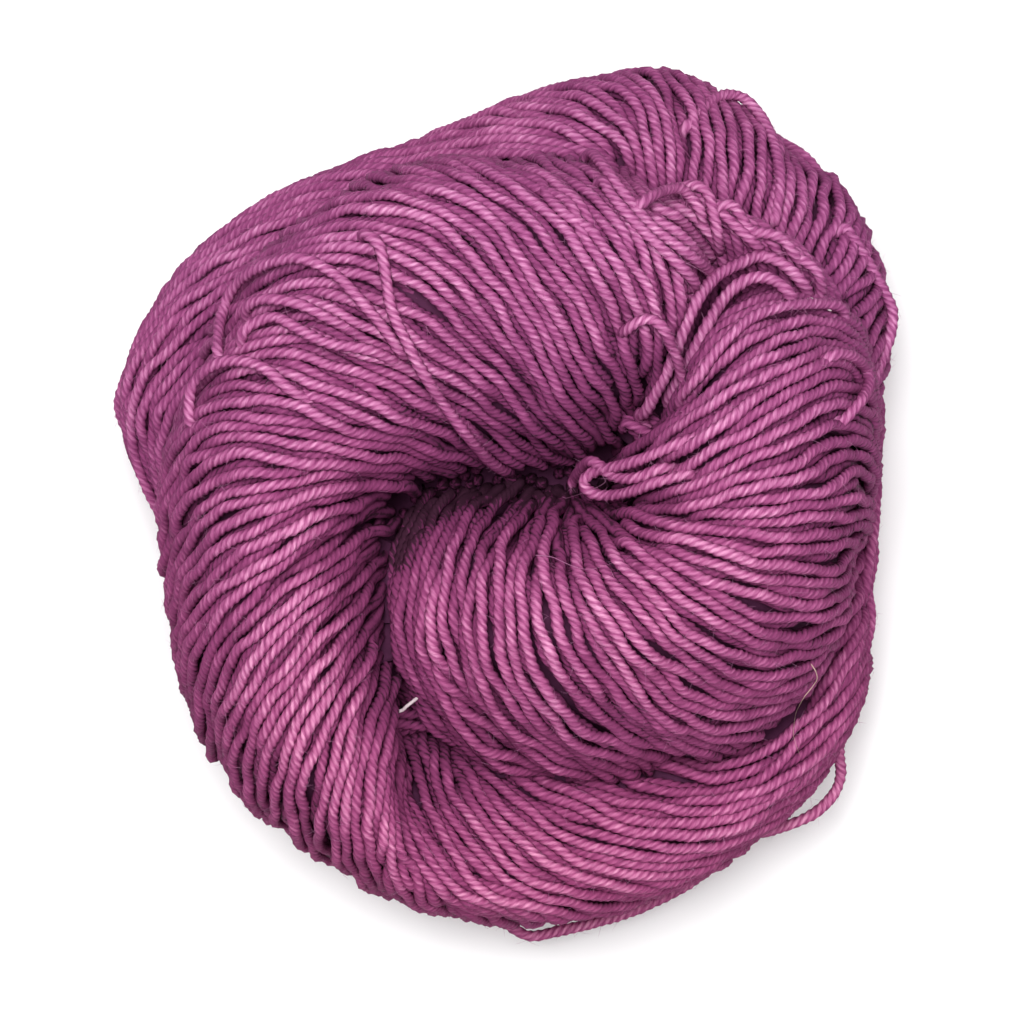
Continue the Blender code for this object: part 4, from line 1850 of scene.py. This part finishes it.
@dataclass(frozen=True)
class DyeDrift(Effect):
    """The shared effect of hand dyeing: slow drifts of depth over the hank, warmer to the front."""

    name: str = "dye_drift"
    inputs: tuple = (("Position", "NodeSocketVector"),)
    outputs: tuple = ("Depth", "Warmth")
    broad_scale: float = 24.0
    patch_scale: float = 95.0
    back: float = 0.045
    front: float = -0.065
    broad_depth: Weight = Weight(0.6)
    patch_depth: Weight = Weight(0.4)
    front_warmth: Weight = Weight(0.6)
    broad_warmth: Weight = Weight(0.5)

    def wire(self, bench: Bench, entry: Sockets) -> dict[str, Socket]:
        """Build the nodes.

        Args:
            bench: Where the nodes are added.
            entry: The group's inputs.

        Returns:
            The group's outputs by name.
        """
        broad = bench.noise(entry["Position"], self.broad_scale, 2.0)
        patch = bench.noise(entry["Position"], self.patch_scale, 2.0)
        split = bench.node("ShaderNodeSeparateXYZ", {0: entry["Position"]})
        low = bench.fitted(split.outputs["Y"], {"From Min": self.back, "From Max": self.front})
        return {
            "Depth": bench.weighed(((broad, self.broad_depth), (patch, self.patch_depth))),
            "Warmth": bench.weighed(((low, self.front_warmth), (broad, self.broad_warmth))),
        }


@dataclass(frozen=True)
class Finish:
    """A finish of one name, whose material is made once."""

    name: str

    def material(self) -> bpy.types.Material:
        """Make the finish, or find it.

        Returns:
            The material.
        """
        if self.name in bpy.data.materials:
            return bpy.data.materials[self.name]
        made = bpy.data.materials.new(self.name)
        made.use_nodes = True
        bench = Bench(made.node_tree)
        bench.fill(made.node_tree.nodes["Principled BSDF"], self.look(bench))
        return made

    def look(self, bench: Bench) -> dict[str, object]:
        """Build the nodes, and give what goes into each input of the shader."""
        raise NotImplementedError


@dataclass(frozen=True)
class WoolFinish(Finish):
    """Plum wool, in linear light, with painted light and shade: its shades run from the painted shade of the
    fold to the lightest fibre.
    """

    name: str = "plum_wool"
    shades: tuple[Shade, ...] = (
        # The darkest shade is the painted shade of the fold.
        Shade(0.00, (0.048, 0.016, 0.035, 1.0)),
        Shade(0.15, (0.165, 0.033, 0.112, 1.0)),
        Shade(0.23, (0.180, 0.037, 0.120, 1.0)),
        Shade(0.45, (0.230, 0.050, 0.154, 1.0)),
        Shade(0.63, (0.335, 0.090, 0.232, 1.0)),
        Shade(0.82, (0.475, 0.173, 0.353, 1.0)),
        Shade(1.00, (0.640, 0.302, 0.515, 1.0)),
    )
    # The lowest value of the sum below, reached by the fold's painted shade.
    hollow: float = -0.3
    # Painted shade: strands shut in by others, and their sides facing in, are darker.
    openness: Weight = Weight(0.70)
    # Painted shade: a strand's flanks, as seen from the camera, are darker.
    edge: Weight = Weight(-0.30, 0.35)
    # Painted light and shade: ply crests lighter, the grooves between plies darker.
    crest: Weight = Weight(0.34, 0.62)
    mottle: Weight = Weight(0.85, 0.5)
    fibre: Weight = Weight(0.75, 0.5)
    dye: Weight = Weight(0.45, 0.5)
    tone: Weight = Weight(0.05)
    white: Colour = (1.0, 1.0, 1.0, 1.0)
    warm: Colour = (1.0, 0.84, 0.78, 1.0)
    streak: float = 3.0
    roughest: float = 0.9
    sleekest: float = 0.65
    bump: float = 0.6
    bump_depth: float = 0.00035
    specular: float = 0.08
    glint: Colour = (1.0, 0.55, 0.8, 1.0)

    def look(self, bench: Bench) -> dict[str, object]:
        """Build the nodes.

        Args:
            bench: Where the nodes are added.

        Returns:
            What goes into each input of the shader.
        """
        uv = bench.node("ShaderNodeUVMap", uv_map="ply").outputs[0]
        relief = bench.effect(PlyRelief(), {"UV": uv, "Plies": float(YARN.plies), "Streak": self.streak})
        place = bench.node("ShaderNodeTexCoord").outputs["Object"]
        dye = bench.effect(DyeDrift(), {"Position": place})
        # The sum sets the shade: its open, facing and crest parts are painted light and shade, the rest the
        # wool's dye, patches and fibres.
        depth = bench.weighed((
            (bench.node("ShaderNodeAttribute", attribute_name="open").outputs["Fac"], self.openness),
            (bench.node("ShaderNodeLayerWeight", {"Blend": 0.5}).outputs["Facing"], self.edge),
            (relief["Crest"], self.crest),
            (relief["Mottle"], self.mottle),
            (relief["Fibre"], self.fibre),
            (dye["Depth"], self.dye),
            (bench.node("ShaderNodeAttribute", attribute_name="tone").outputs["Fac"], self.tone),
        ))
        shade = bench.ramp(bench.fitted(depth, {"From Min": self.hollow}), self.shades)
        tint = bench.blend(dye["Warmth"], self.white, self.warm)
        return {
            "Base Color": bench.blend(1.0, shade, tint, "MULTIPLY"),
            "Roughness": bench.fitted(relief["Fibre"], {"To Min": self.roughest, "To Max": self.sleekest}),
            "Normal": bench.bump(relief["Height"], self.bump, self.bump_depth),
            "Specular IOR Level": self.specular,
            "Specular Tint": self.glint,
        }


@dataclass(frozen=True)
class PlainFinish(Finish):
    """A fibre with a slight mottle: tie thread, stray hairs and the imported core."""

    low: Colour
    high: Colour
    scale: float
    detail: float = 3.0
    roughest: float = 0.85
    sleekest: float = 0.7
    bump: float = 0.4
    bump_depth: float = 0.0002
    specular: float = 0.05

    def look(self, bench: Bench) -> dict[str, object]:
        """Build the nodes.

        Args:
            bench: Where the nodes are added.

        Returns:
            What goes into each input of the shader.
        """
        place = bench.node("ShaderNodeTexCoord").outputs["Object"]
        mottle = bench.noise(place, self.scale, self.detail)
        return {
            "Base Color": bench.blend(mottle, self.low, self.high),
            "Roughness": bench.fitted(mottle, {"To Min": self.roughest, "To Max": self.sleekest}),
            "Normal": bench.bump(mottle, self.bump, self.bump_depth),
            "Specular IOR Level": self.specular,
        }


@dataclass(frozen=True)
class FloorPaint(Finish):
    """The plain pale paint of the floor."""

    name: str = "pale_floor"
    colour: Colour = (0.9, 0.9, 0.9, 1)
    roughness: float = 0.9

    def look(self, bench: Bench) -> dict[str, object]:
        """The shader's colour and roughness, with no other node."""
        return {"Base Color": self.colour, "Roughness": self.roughness}


def dressed(name: str, mesh: bpy.types.Mesh, finish: Finish) -> bpy.types.Object:
    """Make a mesh a piece of the hank, at the origin.

    Args:
        name: The name of the piece.
        mesh: Its mesh.
        finish: What it is finished with.

    Returns:
        The piece.
    """
    mesh.materials.append(finish.material())
    piece = bpy.data.objects.new(name, mesh)
    bpy.context.scene.collection.objects.link(piece)
    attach(piece, "root")
    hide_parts(NODE)
    return piece


@dataclass
class Hank:
    """The whole hank: its turns, laid, settled, trimmed and dressed.

    `deepest` is how deep in the solid a turn is still laid. A turn that is bare to
    the share `closed` of all sides counts as shut in, and `opening` more as open;
    its openness sets the painted shade of its colour.
    """

    solid: Solid
    deepest: float = 6.5
    closed: float = 0.08
    opening: float = 0.36
    fold: Fold = Fold()
    thread: TubeStyle = TubeStyle(sides=6, plies=2, pitch=1.6, depth=0.15)
    straw: TubeStyle = TubeStyle(sides=5, plies=0, slub=0.0, taper=True)
    hair: TubeStyle = TubeStyle(sides=3, plies=0, slub=0.0, taper=True)
    wool: Finish = WoolFinish()
    halo: Finish = PlainFinish("loose_fibre", (0.28, 0.075, 0.19, 1), (0.56, 0.26, 0.43, 1), 300.0)
    undyed: Finish = PlainFinish("undyed_thread", (0.40, 0.29, 0.33, 1), (0.74, 0.64, 0.66, 1), 1500.0)
    bleached: Finish = PlainFinish("straw_fibre", (0.42, 0.27, 0.22, 1), (0.62, 0.46, 0.38, 1), 1500.0)

    @staticmethod
    def _families() -> tuple[Laying, ...]:
        """Say how every family of turns is laid.

        Returns:
            The families, in the order they are laid.
        """
        rim_span = (-62.0, 14.0)
        return (
            Laying("front_turns", LobeSurface(FRONT, 9.0, 2.4, FRONT_LEAN), (-1.0, math.pi + 0.9), 11),
            Laying(
                "swirl_turns", LobeSurface(SWIRL, 7.0, 2.4, SWIRL_LEAN), (-1.0, math.pi + 0.95), 5,
                span=(0.015, 1.08), shares=SWIRL_SHARES,
            ),
            Laying(
                "middle_turns", LobeSurface(MIDDLE), (0.1, math.pi + 0.2), 3,
                spacing=2.15, room=1.3, below=0.8, bunching=0.2, gather=0.1, dive=(0.0, 3.0), hold=0.15,
            ),
            Laying(
                "ring_turns", RingSurface(RING_LEAN, 0.5), (math.radians(-172), math.radians(140)), 17,
                samples=220, room=0.6, shares=RING_SHARES,
            ),
            Laying(
                "rim_turns", RimSurface((75.0, 40.0), (-12.0, -30.0), rim_span), rim_span, 23,
                below=0.9, sway=0.4, dive=(4.5, 4.5), dive_run=16.0,
            ),
        )

    def lay(self) -> list[Strand]:
        """Lay every family of turns.

        Returns:
            The stretches of the turns that don't lie too deep.
        """
        strands: list[Strand] = []
        for family in self._families():
            laid = cut(family.strands(), lambda s: self.solid.depth(s.points) < self.deepest, grow=1)
            log.info("%s: %d stretches laid", family.piece, len(laid))
            strands.extend(laid)
        return strands

    def dress(self) -> list[bpy.types.Object]:
        """Settle, trim and mesh the turns, with what lies on them.

        Returns:
            The pieces.
        """
        strands = self.lay()
        Packing().settle(strands, self.solid.outward)
        total = sum(len(s.points) for s in strands)
        sight = Sight(strands)
        strands = cut(strands, sight.seen, grow=2)
        log.info("settled %d points, kept %d", total, sum(len(s.points) for s in strands))
        # Openness from what each point is bare to, which sets painted shade: shut-in stretches get a darker
        # colour.
        for strand in strands:
            strand.outward = self.solid.outward(strand.points)
            strand.outward[:, 3] = np.clip((strand.bare - self.closed) / self.opening, 0.0, 1.0)
        rest = (sight.top, self.solid.outward)
        strands += [turn.strand("loose_turns", *rest) for turn in LOOSE_TURNS if turn.resting]
        # Paint the fold's shade on the settled turns and on the resting loose turns.
        for strand in strands:
            self.fold.paint_fold_shade(strand)
        strands += [turn.strand("loose_turns", *rest) for turn in LOOSE_TURNS if not turn.resting]
        threads = [turn.strand("pale_thread", *rest) for turn in (TIE_THREAD, *FRAYED_ENDS)]
        hairs = [turn.strand("fuzz", *rest) for turn in LONG_HAIRS]
        pieces = self.mesh(strands, TubeStyle(), self.wool)
        pieces += self.mesh(threads, self.thread, self.undyed)
        pieces += self.mesh([STRAY_FIBRE.strand("stray_fibre", *rest)], self.straw, self.bleached)
        pieces += self.mesh(Fuzz().strands(strands) + hairs, self.hair, self.halo)
        return pieces

    @staticmethod
    def mesh(strands: Iterable[Strand], style: TubeStyle, finish: Finish) -> list[bpy.types.Object]:
        """Mesh strands piece by piece and give each its finish.

        Args:
            strands: The strands, each with its piece's name.
            style: How they are meshed.
            finish: What they are finished with.

        Returns:
            The pieces.
        """
        tubes: dict[str, TubeMesh] = {}
        for strand in strands:
            tubes.setdefault(strand.piece, TubeMesh(style)).add(strand)
        return [dressed(name, made.build(name), finish) for name, made in tubes.items()]


@dataclass
class PackedCore:
    """The inside of the hank, seen only between turns, painted dark as the shade in the gaps."""

    solid: Solid
    inset: float = 4.0
    # Painted shade: the core's dark colour stands for the shadow in the gaps between turns.
    finish: Finish = PlainFinish("core_painted_shade", (0.05, 0.013, 0.036, 1), (0.1, 0.025, 0.07, 1), 500.0)

    def build(self) -> bpy.types.Object:
        """Shrink a copy of the solid along its normals.

        Returns:
            The piece.
        """
        shape = self.solid.mesh.copy()
        shape.normal_update()
        for vert in shape.verts:
            vert.co -= vert.normal * self.inset * MM
        mesh = bpy.data.meshes.new("packed_core")
        shape.to_mesh(mesh)
        shape.free()
        mesh.polygons.foreach_set("use_smooth", np.ones(len(mesh.polygons), bool))
        return dressed("packed_core", mesh, self.finish)


@dataclass(frozen=True)
class Lamp:
    """A soft square light that faces the hank: where it hangs, its side in metres and its watts."""

    name: str
    spot: tuple[float, float, float]
    size: float
    power: float

    def build(self, target: tuple[float, float, float] = (0, 0, 0.04)) -> None:
        """Hang the lamp.

        Args:
            target: What it faces.
        """
        bpy.ops.object.light_add(type="AREA", location=self.spot)
        lamp = bpy.context.object
        lamp.name = self.name
        lamp.data.size = self.size
        lamp.data.energy = self.power
        lamp.rotation_euler = (Vector(target) - Vector(self.spot)).to_track_quat("-Z", "Y").to_euler()


@dataclass(frozen=True)
class Studio:
    """A pale floor, soft lights and a camera straight above, in metres.

    The camera shows `pixels` of `pixel_size` across at `scale_level`, half way up the
    hank.
    """

    height: float = 1.2
    scale_level: float = 0.045
    pixels: int = 1024
    pixel_size: float = 0.00017
    sensor: float = 36.0
    nearest: float = 0.05
    furthest: float = 20.0
    floor_size: float = 3.0
    paint: FloorPaint = FloorPaint()
    lamps: tuple[Lamp, ...] = (
        Lamp("key_light", (-0.12, 0.22, 1.5), 0.6, 26.5),
        Lamp("fill_light", (0.7, -0.5, 0.9), 0.9, 4.0),
    )
    sky: Colour = (1.0, 1.0, 1.0, 1)
    daylight: float = 0.48

    def _floor(self) -> None:
        """Lay a plain pale floor."""
        bpy.ops.object.select_all(action="DESELECT")
        bpy.ops.mesh.primitive_plane_add(size=self.floor_size, location=(0, 0, 0))
        floor = bpy.context.object
        floor.name = "studio_floor"
        floor.data.materials.append(self.paint.material())

    def _room(self) -> None:
        """Light the room all round, and show its colours as they are."""
        world = bpy.data.worlds.new("soft_room")
        world.use_nodes = True
        background = world.node_tree.nodes["Background"]
        background.inputs["Color"].default_value = self.sky
        background.inputs["Strength"].default_value = self.daylight
        bpy.context.scene.world = world
        bpy.context.scene.view_settings.view_transform = "Standard"

    def _camera(self) -> None:
        """Hang the camera, looking straight down."""
        bpy.ops.object.camera_add(location=(0, 0, self.height), rotation=(0, 0, 0))
        camera = bpy.context.object
        camera.name = "photo_camera"
        camera.data.sensor_width = self.sensor
        frame_width = self.pixels * self.pixel_size
        camera.data.lens = self.sensor * (self.height - self.scale_level) / frame_width
        camera.data.clip_start = self.nearest
        camera.data.clip_end = self.furthest
        bpy.context.scene.camera = camera

    def build(self) -> None:
        """Set up floor, lights, world and camera."""
        self._floor()
        for lamp in self.lamps:
            lamp.build()
        self._room()
        self._camera()


def main() -> None:
    """Build the studio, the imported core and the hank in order, and report each piece."""
    logging.basicConfig(level=logging.INFO, format="%(name)s %(message)s")
    Studio().build()
    solid = Solid(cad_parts[NODE])
    for piece in (PackedCore(solid).build(), *Hank(solid).dress()):
        count = sum(len(face.vertices) - 2 for face in piece.data.polygons)
        log.info("%s: %d triangles", piece.name, count)


if __name__ == "__main__":
    main()
